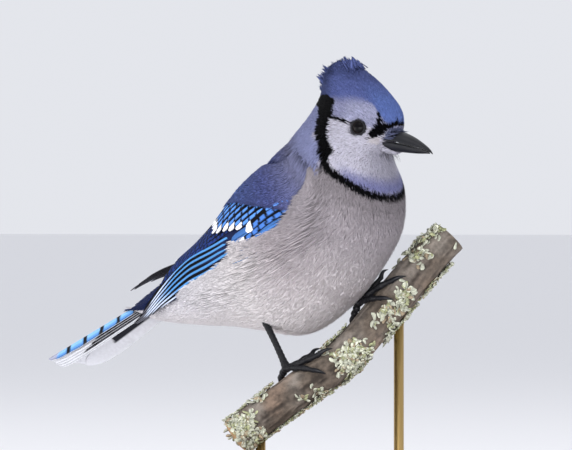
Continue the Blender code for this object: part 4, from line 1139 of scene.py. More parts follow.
def mantle_over_wing(side, chance, tones):
    """Mantle feathers over the top of a wing. They start anywhere in front of the mantle's end and
    above its front edge, and rise by s, less towards the wing's upper edge."""
    count = 5800
    t = chance.uniform(0.12, 1.05, count)
    limit = np.interp(t, *MANTLE_END) + chance.normal(0, 0.009, count)
    step = chance.uniform(0.08, 0.12, count)
    s = np.minimum(chance.uniform(0.0, 1.0, count) * (limit + 0.14) - 0.14, limit - step)
    keep = t > np.interp(s + step * 0.5, *MANTLE_FRONT) + chance.normal(0, 0.045, count)
    s, t, step = s[keep], t[keep], step[keep]
    count = len(s)
    peak = np.interp(s + step, *MANTLE_RISE)
    peak = (peak + 1.8) * (1 - 0.6 * eased((t - 0.78) / 0.32)) - 1.8
    peak = peak + chance.uniform(-0.15, 0.25, count)
    low = np.minimum(-1.0, peak - 1.6)[:, None]
    heights = low + (peak[:, None] - low) * TUFT_STEPS**0.6
    position, angle = body_place(side, s + step * 0.6, t)
    colour = tone_between(position, BACK_TONES, tones)
    colour = colour * chance.lognormal(0, 0.08, count)[:, None]
    half = chance.uniform(0.35, 0.6, count)
    drift = chance.normal(0, 0.008, count)
    where = skin_place(position, angle)
    return wing_tufts(side, s, t, step, drift, heights, half, colour, where)


def flank_over_wing(side, chance, tones):
    """Loose flank feathers that lap over a wing's front and lower edge: their tips lie on a line
    by s or somewhat below it."""
    count = 4900
    tip_s = chance.uniform(-0.1, 0.8, count)
    tip_t = np.interp(tip_s, *FLANK_COVER) + chance.normal(0.02, 0.02, count)
    tip_t = tip_t - chance.exponential(0.085, count)
    reach = chance.uniform(0.6, 1.15, count)
    step_s = 0.08 * reach
    step_t = 0.06 * reach * np.interp(tip_s, (0.0, 0.3, 0.6), (1.3, 0.7, 0.3))
    s, t = tip_s - step_s, tip_t - step_t
    peak = np.interp(tip_s, *FLANK_RISE) * chance.uniform(0.85, 1.15, count)
    heights = -2.4 + (peak + 2.4)[:, None] * TUFT_STEPS**0.6
    position, angle = body_place(side, tip_s, tip_t)
    colour = coat_colour(np.clip(position, 0, 8.9), 0 * angle + 104, tones)
    colour = colour * 0.86 * chance.lognormal(0, 0.06, count)[:, None]
    half = chance.uniform(0.14, 0.28, count)
    where = skin_place(position, angle)
    return wing_tufts(side, s, t, step_s, step_t, heights, half, colour, where, SOFT_RIDGE)


def make_wing_cover(material, tones):
    """Feathers of mantle and flank that lie over the edges of both folded wings."""
    chance = np.random.default_rng(31)
    covers = (mantle_over_wing, flank_over_wing)
    sets = [cover(side, chance, tones) for side in WINGS for cover in covers]
    joined_piece("coat_over_wings", sets, material, smooth=False)


def tail_point(length, lateral, height):
    """A point of the folded tail: the roof curve bends each side down from the ridge."""
    slope = np.where(lateral < 0, TAIL_ROOF[-1], TAIL_ROOF[1])
    size = np.abs(lateral)
    flat = np.minimum(size, TAIL_BEND)
    past = np.maximum(size - TAIL_BEND, 0)
    down = np.sin(slope) * (flat**2 / (2 * TAIL_BEND) + past)
    out = flat * (1 - (1 - np.cos(slope)) * flat / (2 * TAIL_BEND)) + np.cos(slope) * past
    lift = height - down
    x = TAIL_ROOT[0] - length * math.cos(TAIL_PITCH) - lift * math.sin(TAIL_PITCH)
    z = TAIL_ROOT[1] - length * math.sin(TAIL_PITCH) + lift * math.cos(TAIL_PITCH)
    return np.stack([x, np.sign(lateral) * out, z], axis=-1)


# Bars of the tail: the first one's distance from the tip, the pitch, half a bar and where they end.
BAR_FIRST, BAR_PITCH, BAR_HALF, BAR_END = 14.9, 12.4, 1.5, 11.0
# White tips of the tail feathers in mm, from the middle pair out: of the barred ones, and of the
# near side's plain dark ones, two of which are white nearly all along.
BARRED_TIPS = (0.0, 3.0, 12.0, 15.0, 19.0, 22.0)
PLAIN_TIPS = (0.0, 90.0, 32.0, 28.0, 21.0, 90.0)


def rectrix_marking(chance, pair, side, blue):
    """Marking of one tail feather: blue with black bars and a white tip, or plain dark with one on
    the near side's outer ones. Below it is grey, dark on the inner web, with the same white tip."""
    deep, dark, pale = blue * (0.35, 0.5, 0.75), linear("#24252C"), linear("#D6D7DD")
    seed = int(chance.integers(1, 10000))
    plain = side < 0 and pair > 0
    white = (PLAIN_TIPS if plain else BARRED_TIPS)[pair]
    if plain:
        blue = deep = linear("#34353B")

    def marking(u, d, wide, under):
        grain = lattice_noise(np.stack([wide, d, 0 * d], axis=-1), 1.8, seed)
        level = 1 + 0.07 * grain[..., None]
        if under:
            inner = eased((u + 0.05) / 0.1) * (1.0 if pair > 2 else 0.6)
            colour = over_to(pale * level, dark, inner)
            return over_to(colour, pale, eased(white + 2 + grain - d + 0.5))
        colour = over_to(blue * level, deep, eased((-0.55 - u) / 0.2))
        step = BAR_PITCH / 2
        off = np.abs((d - BAR_FIRST + 0.35 * wide + step) % BAR_PITCH - step)
        bars = eased((BAR_HALF + 0.25 * grain - off) / 0.5 + 0.5) * (d > BAR_END)
        colour = over_to(colour, BLACK, bars)
        colour = over_to(colour, linear("#A9ABC0"), eased((9 - d) / 3) * (white == 0))
        shaft = eased((0.25 - np.abs(wide)) / 0.15) * (0.12 if plain else 1.0)
        colour = over_to(colour, BLACK, shaft)
        if white:
            if not plain:
                colour = over_to(colour, BLACK, 0.85 * eased((white + 12 - d) / 2))
            colour = over_to(colour, pale, eased(white + grain - d + 0.5))
        return colour

    return marking


def make_tail(material, blue):
    """Twelve tail feathers folded into a low roof, the middle pair on top. Each lies on the roof
    at its own distance from the ridge, which grows towards its tip."""
    chance = np.random.default_rng(60)
    sets = []
    for pair in range(6):
        for side in (-1, 1):
            end = TAIL_LENGTH - 2.3 * pair - 1.2 * chance.random() - (side > 0)
            layer = 0.5 * pair + 0.2 * (side > 0)

            def place(share, wide, height):
                length = TAIL_START + (end - TAIL_START) * share + 0 * wide
                middle = 1.6 + 0.5 * pair + (0.9 + 1.3 * pair) * share
                return tail_point(length, side * (middle - wide), height - layer)

            mark = rectrix_marking(chance, pair, side, blue)
            webs = (4.2 + 0.35 * pair, 6.0) if pair else (7.4, 3.0)
            lift = (0.2, 0.0, 0.3)
            sets.append(vane_set(place, 110, webs, TAIL_FORM, lift, mark, len(sets), 12))
    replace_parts(joined_piece("tail_feathers", sets, material), "tail")


def crest_layers(chance, tones):
    """Long feathers in layers over the crown, which rise more towards its top."""
    count = 1500
    position = chance.uniform(14.4, 18.7, count)
    angle = chance.uniform(0, 1, count) ** 0.8 * 140 * chance.choice([-1, 1], count)
    size = np.interp(position, (14.4, 17.0, 18.7), (8.0, 10.0, 9.5))
    size = size * chance.uniform(0.75, 1.15, count)
    loose = np.interp(position, (14.4, 16.0, 18.7), (0.5, 1.0, 1.6))
    rise = chance.uniform(0.1, 1.0, count) * loose
    rise = rise * np.interp(np.abs(angle), (0, 60, 140), (1.3, 1.0, 0.5))
    path, side, normal, middle_p, middle_a = tuft_paths(position, angle, size, rise)
    colour = coat_colour(np.minimum(middle_p, 18.0), middle_a, tones, chance)
    colour = colour * chance.lognormal(0, 0.12, count)[:, None]
    half = chance.uniform(0.3, 0.6, count)
    ridge = half * TUFT_RIDGE
    return tuft_set(path, side, normal, half, ridge, colour, skin_place(position, angle))


def crest_lock(chance, tones, x, y, z, reach):
    """A lock that stands clear of the crest: tufts from about one root to about one point, bowed
    upwards between them."""
    count = 26
    short = 1.2 * abs(y) / LOCK_SIDE
    tip = turned(np.array([x + short, y * 0.7 + chance.normal(0, 0.3), z - short]), 1.0)
    drop = np.interp(x, (19, 30, 36, 40), (0.55, 0.85, 0.95, 1.15))
    ahead = unit(np.array([1.0, 0.0, -drop]))
    base = tip + ahead * reach
    root = base + chance.normal(0, 1.0, (count, 3)) * (0.5, 1.5, 0.5)
    end = tip + chance.normal(0, 0.3, (count, 3))
    end = end + ahead * chance.uniform(0, 2.6, (count, 1))
    shares = TUFT_STEPS[None, :, None]
    path = root[:, None] + (end - root)[:, None] * shares
    path = path + np.array([0.25, 0.0, 0.6]) * shares * (1 - shares)
    lie = unit(end - root)
    side = unit(np.cross(lie, UP) + chance.normal(0, 0.25, (count, 3)))
    up = unit(np.cross(side, lie))
    colour = tones["crown middle"] * 0.8 * chance.lognormal(0, 0.2, count)[:, None]
    half = chance.uniform(0.28, 0.5, count)
    where = skin_place(18.0 + 0 * half, 40.0 * y + 0 * half)
    return tuft_set(path, side, up, half, half * TUFT_RIDGE, colour, where)


def make_crest(material, tones):
    """The crest: its layers, and loose locks at its back and top in three rows side by side."""
    chance = np.random.default_rng(70)
    sets = [crest_layers(chance, tones)]
    for x, z, reach in CREST_TIPS:
        for y in (-LOCK_SIDE, 0.0, LOCK_SIDE):
            sets.append(crest_lock(chance, tones, x, y, z, reach))
    joined_piece("coat_crest", sets, material, smooth=False)


def bill_points(table, x_share, turn, upper, grow=0.0):
    """The bill: at each share of its length an arch of turn 0 to 1 over a flat underside."""
    row = smooth_rows(table, x_share.ravel() * (len(table) - 1))
    row = row.reshape(x_share.shape + (4,))
    phi = turn * math.pi
    half = row[..., 3] + grow
    high, low = row[..., 1] + grow, row[..., 2] - grow
    y = -half * np.cos(phi) * np.abs(np.cos(phi)) ** -0.12
    arch = np.sin(phi) ** 0.85
    z = low + (high - low) * arch if upper else high - (high - low) * arch
    return turned(np.stack([row[..., 0], y, z], axis=-1), 1.0)


def make_bill(material):
    """Upper and lower bill as smooth lofts, closed at the mouth by their flat sides."""
    for name, node, table, upper in (
        ("bill_upper_horn", "bill_upper", BILL_UPPER, True),
        ("bill_lower_horn", "bill_lower", BILL_LOWER, False),
    ):
        share = np.linspace(0, 1, 60)[:, None]
        turn = np.linspace(0.012, 0.988, 29)[None, :]
        share, turn = np.broadcast_arrays(share, turn)
        arch = bill_points(table, share, turn, upper)
        flat = arch[:, -1:] + (arch[:, :1] - arch[:, -1:]) * np.linspace(0.1, 0.9, 9)[None, :, None]
        rings = np.concatenate([arch, flat], axis=1)
        made = tube_piece(name, rings, material, reverse=not upper)
        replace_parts(made, node)


def strand_set(root, lie, up, length, half, droop, colour):
    """Bristles as tufts on lines that droop: root + length * share * lie - droop * share^2 * up."""
    path = root[:, None] + length[:, None, None] * TUFT_STEPS[None, :, None] * lie[:, None]
    path = path - (droop[:, None] * TUFT_STEPS**2)[..., None] * up[:, None]
    side = unit(np.cross(up, lie))
    beside = np.stack([np.linspace(-0.02, 0.02, len(root)), 0 * length], axis=-1)
    places = skin_place(13.0, 170.0) + beside
    return tuft_set(path, side, up, half, half * 0.6, colour, places)


def on_bill(table, share, turn, upper):
    """A place 0.2 mm over the bill, the way towards its tip, and the way out square to that."""
    root = bill_points(table, share, turn, upper, 0.2)
    ahead = unit(bill_points(table, share + 0.05, turn, upper, 0.2) - root)
    out = unit(root - turned(np.array([60.0, 0.0, 167.0]), 1.0))
    return root, ahead, unit(squared(out, ahead))


def nasal_bristles(chance, tones):
    """Dark and grey bristles that lie forward over the root of the upper bill."""
    count = 1500
    turn = chance.uniform(0.05, 0.95, count)
    share = chance.uniform(0.0, 0.2, count)
    root, ahead, up = on_bill(BILL_UPPER, share, turn, True)
    low = 1 - np.abs(turn - 0.5) * 2
    length = chance.uniform(3.5, 7.5, count) * np.interp(low, (0.1, 0.6, 1.0), (0.7, 1.0, 0.7))
    pick = chance.random(count)[:, None]
    dark, pale = tones["black"] * 2.0, tones["nasal"] * 1.7
    colour = np.where(pick < 0.42, dark, np.where(pick < 0.84, tones["nasal"], pale))
    lie = unit(ahead + up * chance.uniform(0.0, 0.12, count)[:, None])
    half = chance.uniform(0.09, 0.18, count)
    return strand_set(root, lie, up, length, half, chance.uniform(0.0, 0.5, count), colour)


def lower_bristles(chance, tones):
    """Pale feathers that lie back from the lower bill, from further forward under its keel than
    at its edges. turn runs from its left edge, under its keel, to its right edge."""
    count = 2600
    turn = chance.uniform(0.02, 0.98, count)
    share = chance.uniform(0.0, 1.0, count) * np.interp(np.abs(turn - 0.5), (0.1, 0.5), (0.34, 0.1))
    root, ahead, up = on_bill(BILL_LOWER, share, turn, False)
    back = unit(up * chance.uniform(0.18, 0.5, count)[:, None] - ahead + (0, 0, -0.25))
    pick = chance.random(count)[:, None]
    pale = tones["face"] * chance.uniform(0.7, 1.0, (count, 1))
    colour = np.where(pick < 0.12, tones["black"] * 3, pale)
    length = chance.uniform(2.0, 3.6, count)
    half = chance.uniform(0.1, 0.18, count)
    return strand_set(root, back, up, length, half, chance.uniform(0.2, 1.0, count), colour)


def chin_hairs(chance, tones):
    """A few loose hairs that point forward and down from the chin."""
    count = 120
    y = chance.uniform(-4.0, 4.0, count)
    x = chance.uniform(57.0, 63.5, count)
    root = turned(np.stack([x, y, 162.4 - 0.22 * (62 - x)], axis=-1), 1.0)
    ahead, down = chance.uniform(0.3, 1.0, count), chance.uniform(-1.2, -0.5, count)
    lie = unit(np.stack([ahead, y * 0.06, down], axis=-1))
    up = unit(squared(unit(np.array([0.6, 0.0, 0.8])), lie))
    colour = np.where(chance.random((count, 1)) < 0.6, tones["black"] * 4, tones["face"] * 0.8)
    length = chance.uniform(3.0, 6.5, count)
    half = np.full(count, 0.06)
    return strand_set(root, lie, up, length, half, chance.uniform(0, 0.6, count), colour)


def make_bristles(material, tones):
    """The bristles and small feathers round the root of the bill."""
    chance = np.random.default_rng(80)
    sets = [made(chance, tones) for made in (nasal_bristles, lower_bristles, chin_hairs)]
    joined_piece("bill_bristles", sets, material, smooth=False)


def square_to(axis):
    """Two directions square to an axis and to each other, the first one level."""
    first = unit(np.cross(axis, UP))
    return first, np.cross(axis, first)


# An eyelid is a ring of this radius and thickness, so far under the ball's outermost point.
LID_RADIUS, LID_HALF, LID_DEPTH = 3.4, 0.55, 1.55


def make_eyes(eye_paint, lid_paint, radius):
    """Each eye is a ball with its pupil along its own axis, in a thin dark ring of lid."""
    for side, word in ((-1, "right"), (1, "left")):
        centre = eye_centre(side)
        axis = unit(np.array([0.5, side, 0.02]))
        first, second = square_to(axis)
        polar = np.linspace(0.01, 0.97, 60)[:, None] * math.pi
        turn = np.linspace(0, FULL_TURN, 64, endpoint=False)[None, :]
        bulge = radius * (1 + 0.02 * np.cos(polar) ** 6)
        ring = np.cos(turn)[..., None] * first + np.sin(turn)[..., None] * second
        way = np.cos(polar)[..., None] * axis + np.sin(polar)[..., None] * ring
        ball = centre + bulge[..., None] * way
        spin, level = np.broadcast_arrays(turn / FULL_TURN, polar / math.pi)
        maps = {"feather": np.stack([spin, level], axis=-1)}
        made = tube_piece(f"eyeball_{word}", ball, eye_paint, None, maps)
        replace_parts(made, "eye_" + word)
        turns = np.linspace(0, FULL_TURN, 72, endpoint=False)
        facing = unit(np.array([0.22, side, 0.0]))
        first, second = square_to(facing)
        rim = LID_RADIUS + 0.12 * np.cos(2 * turns)
        middle = centre + facing * (radius - LID_DEPTH)
        out = np.cos(turns)[:, None] * first + np.sin(turns)[:, None] * second
        path = middle + rim[:, None] * out
        fold = np.linspace(0, FULL_TURN, 10, endpoint=False)[None, :, None]
        crease = LID_HALF + 0.05 * np.sin(turns * 18)
        section = np.cos(fold) * out[:, None] + 1.3 * np.sin(fold) * facing
        rings = path[:, None] + crease[:, None, None] * section
        count, segments = rings.shape[:2]
        faces = grid_faces(count + 1, segments) % (count * segments)
        mesh_piece(f"eyelid_{word}", rings, faces, lid_paint)


def perch_frame(distance):
    """Centre, direction, upper normal, right side and radius of the perch along its line."""
    at = np.interp(distance, PERCH[:, 0], np.arange(len(PERCH)))

    def centre(now):
        """The line's point and the radius at a place in the table."""
        row = smooth_rows(PERCH, now)
        depth = PERCH_DEPTH + PERCH_DEPTH_SLOPE * row[:, 0]
        x = row[:, 0] * math.cos(PERCH_YAW) - depth * math.sin(PERCH_YAW)
        y = row[:, 0] * math.sin(PERCH_YAW) + depth * math.cos(PERCH_YAW)
        return np.stack([x, y, row[:, 1]], axis=-1), row[:, 2]

    here, radius = centre(at)
    ahead = unit(centre(at + 0.01)[0] - centre(at - 0.01)[0])
    right = unit(np.cross(ahead, UP))
    return here, ahead, np.cross(right, ahead), right, radius


def perch_point(distance, around, lift):
    """A point above the bark: around is the angle from its top towards the right side."""
    distance = np.atleast_1d(distance).astype(float)
    here, _, upper, right, radius = perch_frame(distance)
    turn = np.atleast_1d(np.radians(around))[:, None]
    out = np.cos(turn) * upper + np.sin(turn) * right
    return here + out * (radius + np.atleast_1d(lift))[:, None]


def carried_rings(path, radii, segments):
    """Rings about a path, carried along it without twisting."""
    path = np.asarray(path, float)
    ahead = unit(np.gradient(path, axis=0))
    side = np.cross(ahead[0], UP)
    if np.linalg.norm(side) < 0.2:
        side = np.cross(ahead[0], (0.0, 1.0, 0.0))
    angles = np.arange(segments) * FULL_TURN / segments
    rings = []
    for point, direction, radius in zip(path, ahead, radii):
        side = unit(side - direction * (side @ direction))
        ring = np.cos(angles)[:, None] * side + np.sin(angles)[:, None] * np.cross(side, direction)
        rings.append(point + radius * ring)
    return np.array(rings)


def rod_piece(name, line, radii, segments, material):
    """A closed tube of those radii along a line."""
    return tube_piece(name, carried_rings(line, radii, segments), material, reverse=True)


def plates(share, length, pitch, depth):
    """Steps of overlapping plates along a leg: a saw curve that rises over each pitch."""
    phase = (share * length / pitch) % 1.0
    return 1 + depth * (eased(phase / 0.8) - 1.2 * eased((phase - 0.86) / 0.14))


def toe_line(foot, toe, parts):
    """Points along a toe, from the middle of the foot over the bark. parts beyond 1 is the claw."""
    distance, around, _ = FEET[foot]
    along, turn, radius, _ = TOES[foot][toe]
    lift = 0.45 + radius + 1.2 * np.clip(1 - parts * 3, 0, 1)
    return perch_point(distance + along * parts, around + turn * parts, lift)


def make_feet(skin, horn):
    """Legs and toes as plated tubes with pads under the joints, and hooked tapering claws."""
    for foot, (distance, around, heel) in FEET.items():
        middle = perch_point(distance, around, 2.6)[0]
        top = middle + 0.6 * UP
        share = np.linspace(0, 1, 90)
        length = np.linalg.norm(heel - top)
        sway = np.sin(share * math.pi)[:, None] * np.array([0.5, 0.0, 0.0])
        line = heel + (top - heel) * share[:, None] + sway
        radii = np.interp(share, (0, 0.3, 0.6, 0.85, 1.0), (1.9, 1.55, 1.45, 1.6, 2.1))
        radii = radii * plates(share, length, 2.4, 0.09)
        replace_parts(rod_piece(f"leg_{foot}", line, radii, 20, skin), "shank_" + foot)
        hub_share = np.linspace(0, 1, 14)
        hub_line = middle + UP * (1.9 - 3.6 * hub_share)[:, None]
        hub_radii = 2.4 * np.sin(np.clip(hub_share, 0.04, 0.96) * math.pi) ** 0.5
        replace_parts(rod_piece(f"sole_{foot}", hub_line, hub_radii, 20, skin), "foot_" + foot)
        for toe, (along, turn, radius, claw) in TOES[foot].items():
            share = np.linspace(0, 1, 60)
            line = toe_line(foot, toe, share)
            reach = np.linalg.norm(line[0] - line[-1])
            pads = 1 + 0.13 * np.cos(share * 3 * FULL_TURN)
            radii = radius * pads * np.interp(share, (0, 0.8, 1.0), (1.05, 0.92, 0.72))
            radii = radii * plates(share, reach, 1.5, 0.07)
            rod_piece(f"toe_{foot}_{toe}", line, radii, 16, skin)
            share = np.linspace(0.0, 1.0, 26)
            parts = 1.0 + (share * claw - 0.6) / reach
            track = toe_line(foot, toe, parts)
            bark = perch_point(distance + along * parts, around + turn * parts, 0 * parts)
            up = unit(track - bark)
            rise = radius + 0.5 + 1.7 * np.sin(share * math.pi * 0.8) - (radius - 0.2) * share
            line = bark + up * rise[:, None]
            radii = radius * 0.78 * (1 - share**1.4) ** 0.8 + 0.05
            nail = rod_piece(f"nail_{foot}_{toe}", line, radii, 16, horn)
            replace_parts(nail, f"claw_{foot}_{toe}")


def bark_height(distance, turn):
    """Relief of the bark in millimetres: long cracks, bumps and fine grain, as noise on a rod of
    9 mm radius that is drawn out along its length."""
    y, z = 9 * np.cos(turn), 9 * np.sin(turn)
    drawn = np.stack([distance * 0.35, y, z], axis=-1)
    broad = lattice_noise(drawn, 5.0, 3)
    ridges = 1 - np.abs(lattice_noise(drawn, 2.2, 4)) * 2
    fine = lattice_noise(np.stack([distance, y, z], axis=-1), 1.1, 5)
    return 0.35 * broad + 0.22 * ridges + 0.14 * fine


def make_perch(material, bark, depth):
    """The cut branch: a round loft with the relief of its bark, and flat sawn ends."""
    distance = np.linspace(PERCH[0, 0], PERCH[-1, 0], 330)
    turn = np.linspace(0, FULL_TURN, 132, endpoint=False)
    here, _, upper, right, radius = perch_frame(distance)
    grid_d, grid_t = np.meshgrid(distance, turn, indexing="ij")
    relief = bark_height(grid_d, grid_t) * depth
    size = radius[:, None] - 0.25 + relief
    out = np.cos(grid_t)[..., None] * upper[:, None] + np.sin(grid_t)[..., None] * right[:, None]
    rings = here[:, None] + size[..., None] * out
    first, last = (here[k] + (rings[k] - here[k]) * 0.97 for k in (0, -1))
    rings = np.concatenate([first[None], rings, last[None]])
    # dark is the painted shade in the bark's cracks; brown, grey and pink are its own tones.
    dark, brown = bark * (0.2, 0.17, 0.15), bark * (0.85, 0.8, 0.75)
    grey, pink = bark * (1.35, 1.4, 1.45), bark * (1.5, 1.25, 1.1)
    patch, warm = lattice_noise(rings, 9.0, 8), lattice_noise(rings, 14.0, 9)
    relief = np.concatenate([relief[:1], relief, relief[-1:]])
    colour = brown + (grey - brown) * eased(patch * 1.2 + 0.5)[..., None]
    colour = colour + (pink - colour) * (0.7 * eased(warm * 2 - 0.5))[..., None]
    # Painted shade: where the relief sinks the bark is painted darker, down to a fifth of its tone
    # in the deepest cracks.
    colour = colour + (dark - colour) * eased(0.35 - relief * 1.4)[..., None]
    colour[0] = colour[-1] = linear("#C9A77C")
    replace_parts(tube_piece("branch", rings, material, colour), "perch")


def make_lichen(material, count):
    """Leafy lichen: ribbons that curl at their tips, set in patches on the bark."""
    chance = np.random.default_rng(90)
    distance = chance.uniform(-25, 75, count)
    turn = chance.uniform(-180, 180, count)
    place = perch_point(distance, turn, np.zeros(count))
    patch = lattice_noise(place, 7.5, 21) + 0.45 * lattice_noise(place, 3.0, 22)
    # None grows under the toes, which lie this near each foot along and round the perch.
    clear = np.ones(count, bool)
    for foot_at, around, _ in FEET.values():
        reach = np.abs(distance - foot_at - 4)
        clear &= ~((reach < 12) & (np.abs(turn - around - 10) < 75))
    keep = (patch > 0.02) & clear
    distance, turn, place = distance[keep], turn[keep], place[keep]
    count = len(place)
    _, ahead, upper, right, _ = perch_frame(distance)
    angle = np.radians(turn)[:, None]
    out = np.cos(angle) * upper + np.sin(angle) * right
    round_way = np.cross(out, ahead)
    spin = chance.uniform(0, FULL_TURN, count)[:, None]
    lie = np.cos(spin) * ahead + np.sin(spin) * round_way
    side = np.cross(out, lie)
    length = chance.uniform(1.4, 3.6, count)
    half = chance.uniform(0.4, 1.15, count)
    steps = np.linspace(0, 1, 5)
    curl = chance.uniform(0.2, 1.5, count)
    sway = chance.normal(0, 0.8, count)
    path = place[:, None] + length[:, None, None] * steps[None, :, None] * lie[:, None]
    path = path + (sway[:, None] * steps**2)[..., None] * side[:, None]
    lift = 0.35 + curl[:, None] * steps**2
    path = path + lift[..., None] * out[:, None]
    form = np.array([0.5, 0.8, 1.0, 1.25, 0.7])
    wide = half[:, None] * form
    across, cup = wide[..., None] * side[:, None], 0.35 * wide[..., None] * out[:, None]
    under = path - 0.25 * out[:, None]
    points = np.stack([path - across + cup, path, path + across + cup, under], axis=2)
    caps = np.array([[0, 3, 2, 1], [16, 17, 18, 19]])
    lobe = np.concatenate([grid_faces(5, 4), caps])[:, ::-1]
    faces = (np.arange(count)[:, None, None] * 20 + lobe[None]).reshape(-1, 4)
    pale, green, tan = linear("#C6C8B6"), linear("#A9AC86"), linear("#A4947C")
    kind = chance.random(count)
    base = np.where((kind < 0.68)[:, None], pale, np.where((kind < 0.88)[:, None], green, tan))
    base = base * chance.lognormal(0, 0.14, count)[:, None]
    # Painted shade and light on each lobe: darker at its root by the bark, in the middle of its cup
    # and on its underside, lighter towards its tip.
    tips, sides = np.array([0.75, 0.85, 0.95, 1.05, 1.1]), np.array([1.0, 0.85, 1.0, 0.6])
    depth = tips[None, :, None, None] * sides[None, None, :, None]
    mesh_piece("lichen", points, faces, material, base[:, None, None, :] * depth)


def make_stand(walnut, brass):
    """A round base turned from a profile of radius and height, and two rods with round collars
    that carry the perch."""
    profile = np.array([
        [0.5, 0.0], [60.0, 0.0], [74.0, 0.0], [74.6, 0.3], [75.0, 1.2], [75.0, 5.0],
        [74.4, 5.9], [73.2, 6.4], [72.6, 7.0], [72.9, 7.9], [73.3, 9.2], [72.9, 10.6],
        [71.8, 11.6], [70.0, 12.0], [40.0, 12.0], [0.5, 12.0],
    ])
    at = np.linspace(0, len(profile) - 1, 120)
    profile = np.stack([np.interp(at, range(len(profile)), profile[:, k]) for k in (0, 1)], axis=-1)
    turn = np.linspace(0, FULL_TURN, 128, endpoint=False)
    out, level = profile[:, :1], np.repeat(profile[:, 1:], len(turn), axis=1)
    rings = np.stack([out * np.cos(turn), out * np.sin(turn), level], axis=-1)
    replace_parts(tube_piece("stand_turned_base", rings, walnut), "stand_base")
    for name, spot in ROD_SPOTS.items():
        centre = perch_frame(np.array([spot]))[0][0]
        heights = np.concatenate([[BASE_HEIGHT - 5.5, BASE_HEIGHT], np.linspace(12.2, 14.8, 12)])
        heights = np.concatenate([heights, [15.0, centre[2] - 0.5]])
        collar = 3.2 * np.sin(np.linspace(0.1, 0.9, 12) * math.pi) ** 0.5 + 1.1
        radii = np.concatenate([[ROD_RADIUS, ROD_RADIUS], collar, [ROD_RADIUS, ROD_RADIUS]])
        line = np.stack([centre[0] + 0 * heights, centre[1] + 0 * heights, heights], axis=-1)
        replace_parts(rod_piece(name + "_brass", line, radii, 40, brass), name)


def aim(thing, direction):
    """Turns a light or camera so that its -Z axis points along a direction."""
    thing.rotation_mode = "QUATERNION"
    thing.rotation_quaternion = Vector(direction).to_track_quat("-Z", "Y")


# The photo's width in pixels, the metres a pixel shows, the camera's distance, and the middle of
# its view across the photo's plane and in height.
PHOTO_WIDTH, PIXEL, CAMERA_AWAY = 572, 0.48 * MM, 3.0
VIEW_CENTRE = (-1.92 * MM, 127.6 * MM)
# Lamps: name, place in metres, size and share of the light's power. All face one place.
LAMPS = (
    ("key softbox", (0.4, -0.9, 1.3), 0.9, 0.58),
    ("sky softbox", (-0.5, 0.2, 1.6), 1.4, 0.64),
    ("front softbox", (1.2, -0.3, 0.4), 0.8, 0.8),
    ("low fill", (0.22, -0.34, 0.03), 0.3, 0.24),
    ("low side fill", (-0.25, -0.3, 0.03), 0.3, 0.12),
)
LAMP_TARGET = (0.0, 0.0, 0.12)


def make_stage(settings):
    """A pale floor, soft light from above and all round, and the camera of the photograph."""
    scene = bpy.context.scene
    world = bpy.data.worlds.new("soft sky")
    scene.world = world
    world.use_nodes = True
    sky = world.node_tree.nodes["Background"]
    sky.inputs["Color"].default_value = opaque(linear("#E9EBF1"))
    sky.inputs["Strength"].default_value = settings.sky
    mesh = bpy.data.meshes.new("floor")
    half = 60.0
    corners = [(-half, -half, 0), (half, -half, 0), (half, half, 0), (-half, half, 0)]
    mesh.from_pydata(corners, [], [(0, 1, 2, 3)])
    floor = placed("floor", mesh)
    mesh.materials.append(pale_paper(np.array(settings.floor)))
    for name, place, size, share in LAMPS:
        light = bpy.data.lights.new(name, "AREA")
        light.size = size
        light.energy = settings.key * share
        light.color = (1.0, 0.99, 0.98)
        lamp = placed(name, light)
        lamp.visible_camera = False
        lamp.location = place
        aim(lamp, np.subtract(LAMP_TARGET, place))
    camera = bpy.data.cameras.new("photo camera")
    rig = placed("photo camera", camera)
    scene.camera = rig
    across, height = VIEW_CENTRE
    cos, sin = math.cos(PERCH_YAW), math.sin(PERCH_YAW)
    target = np.array([across * cos, across * sin, height])
    rig.location = target + CAMERA_AWAY * np.array([sin, -cos, 0.0])
    aim(rig, target - np.array(rig.location))
    camera.sensor_width = 36.0
    camera.lens = camera.sensor_width * CAMERA_AWAY / (PHOTO_WIDTH * PIXEL)
    camera.clip_start, camera.clip_end = 0.1, 200.0
    scene.view_settings.view_transform = "Standard"


def shade(name, about, colour):
    """A colour property, given as an sRGB hex value."""
    value = tuple(float(c) for c in linear(colour))
    return FloatVectorProperty(
        name=name, description=about, default=value, subtype="COLOR", min=0, max=1
    )


class JayPlumage(bpy.types.PropertyGroup):
    """Sizes and colours of the plumage."""

    feather_scale: FloatProperty(
        name="Feather Length",
        description="Length of the small feathers, as a share of the real one",
        default=1.0, min=0.5, max=1.3, subtype="FACTOR",
    )
    band: shade("Band", "Black of the collar band, necklace and lores", "#030305")
    crown: shade("Crown", "Blue of the crest and crown", "#58639A")
    face: shade("Face", "Pale grey of cheeks and throat", "#BCBAC8")
    mantle: shade("Mantle", "Violet blue of the back", "#4E5589")
    breast: shade("Breast", "Warm grey of the breast", "#A69FA5")
    belly: shade("Belly", "Off-white of the belly", "#EFEAEC")
    primary: shade("Primaries", "Bright blue of the long wing feathers", "#4E8AC6")
    secondary: shade("Secondaries", "Deep blue of the barred inner wing feathers", "#1D3574")
    covert: shade("Coverts", "Blue of the barred wing coverts", "#568CDA")
    tail: shade("Tail", "Blue of the tail feathers", "#8AC0F0")


class JayHead(bpy.types.PropertyGroup):
    """Sizes and colours of bill and eyes."""

    eye_radius: FloatProperty(
        name="Eye Radius", description="Radius of the eyeball",
        default=0.0043, min=0.0041, max=0.0044, subtype="DISTANCE", unit="LENGTH", precision=5,
    )
    iris: shade("Iris", "Brown of the iris", "#1E1511")
    horn: shade("Horn", "Blackish grey of bill and claws", "#101116")


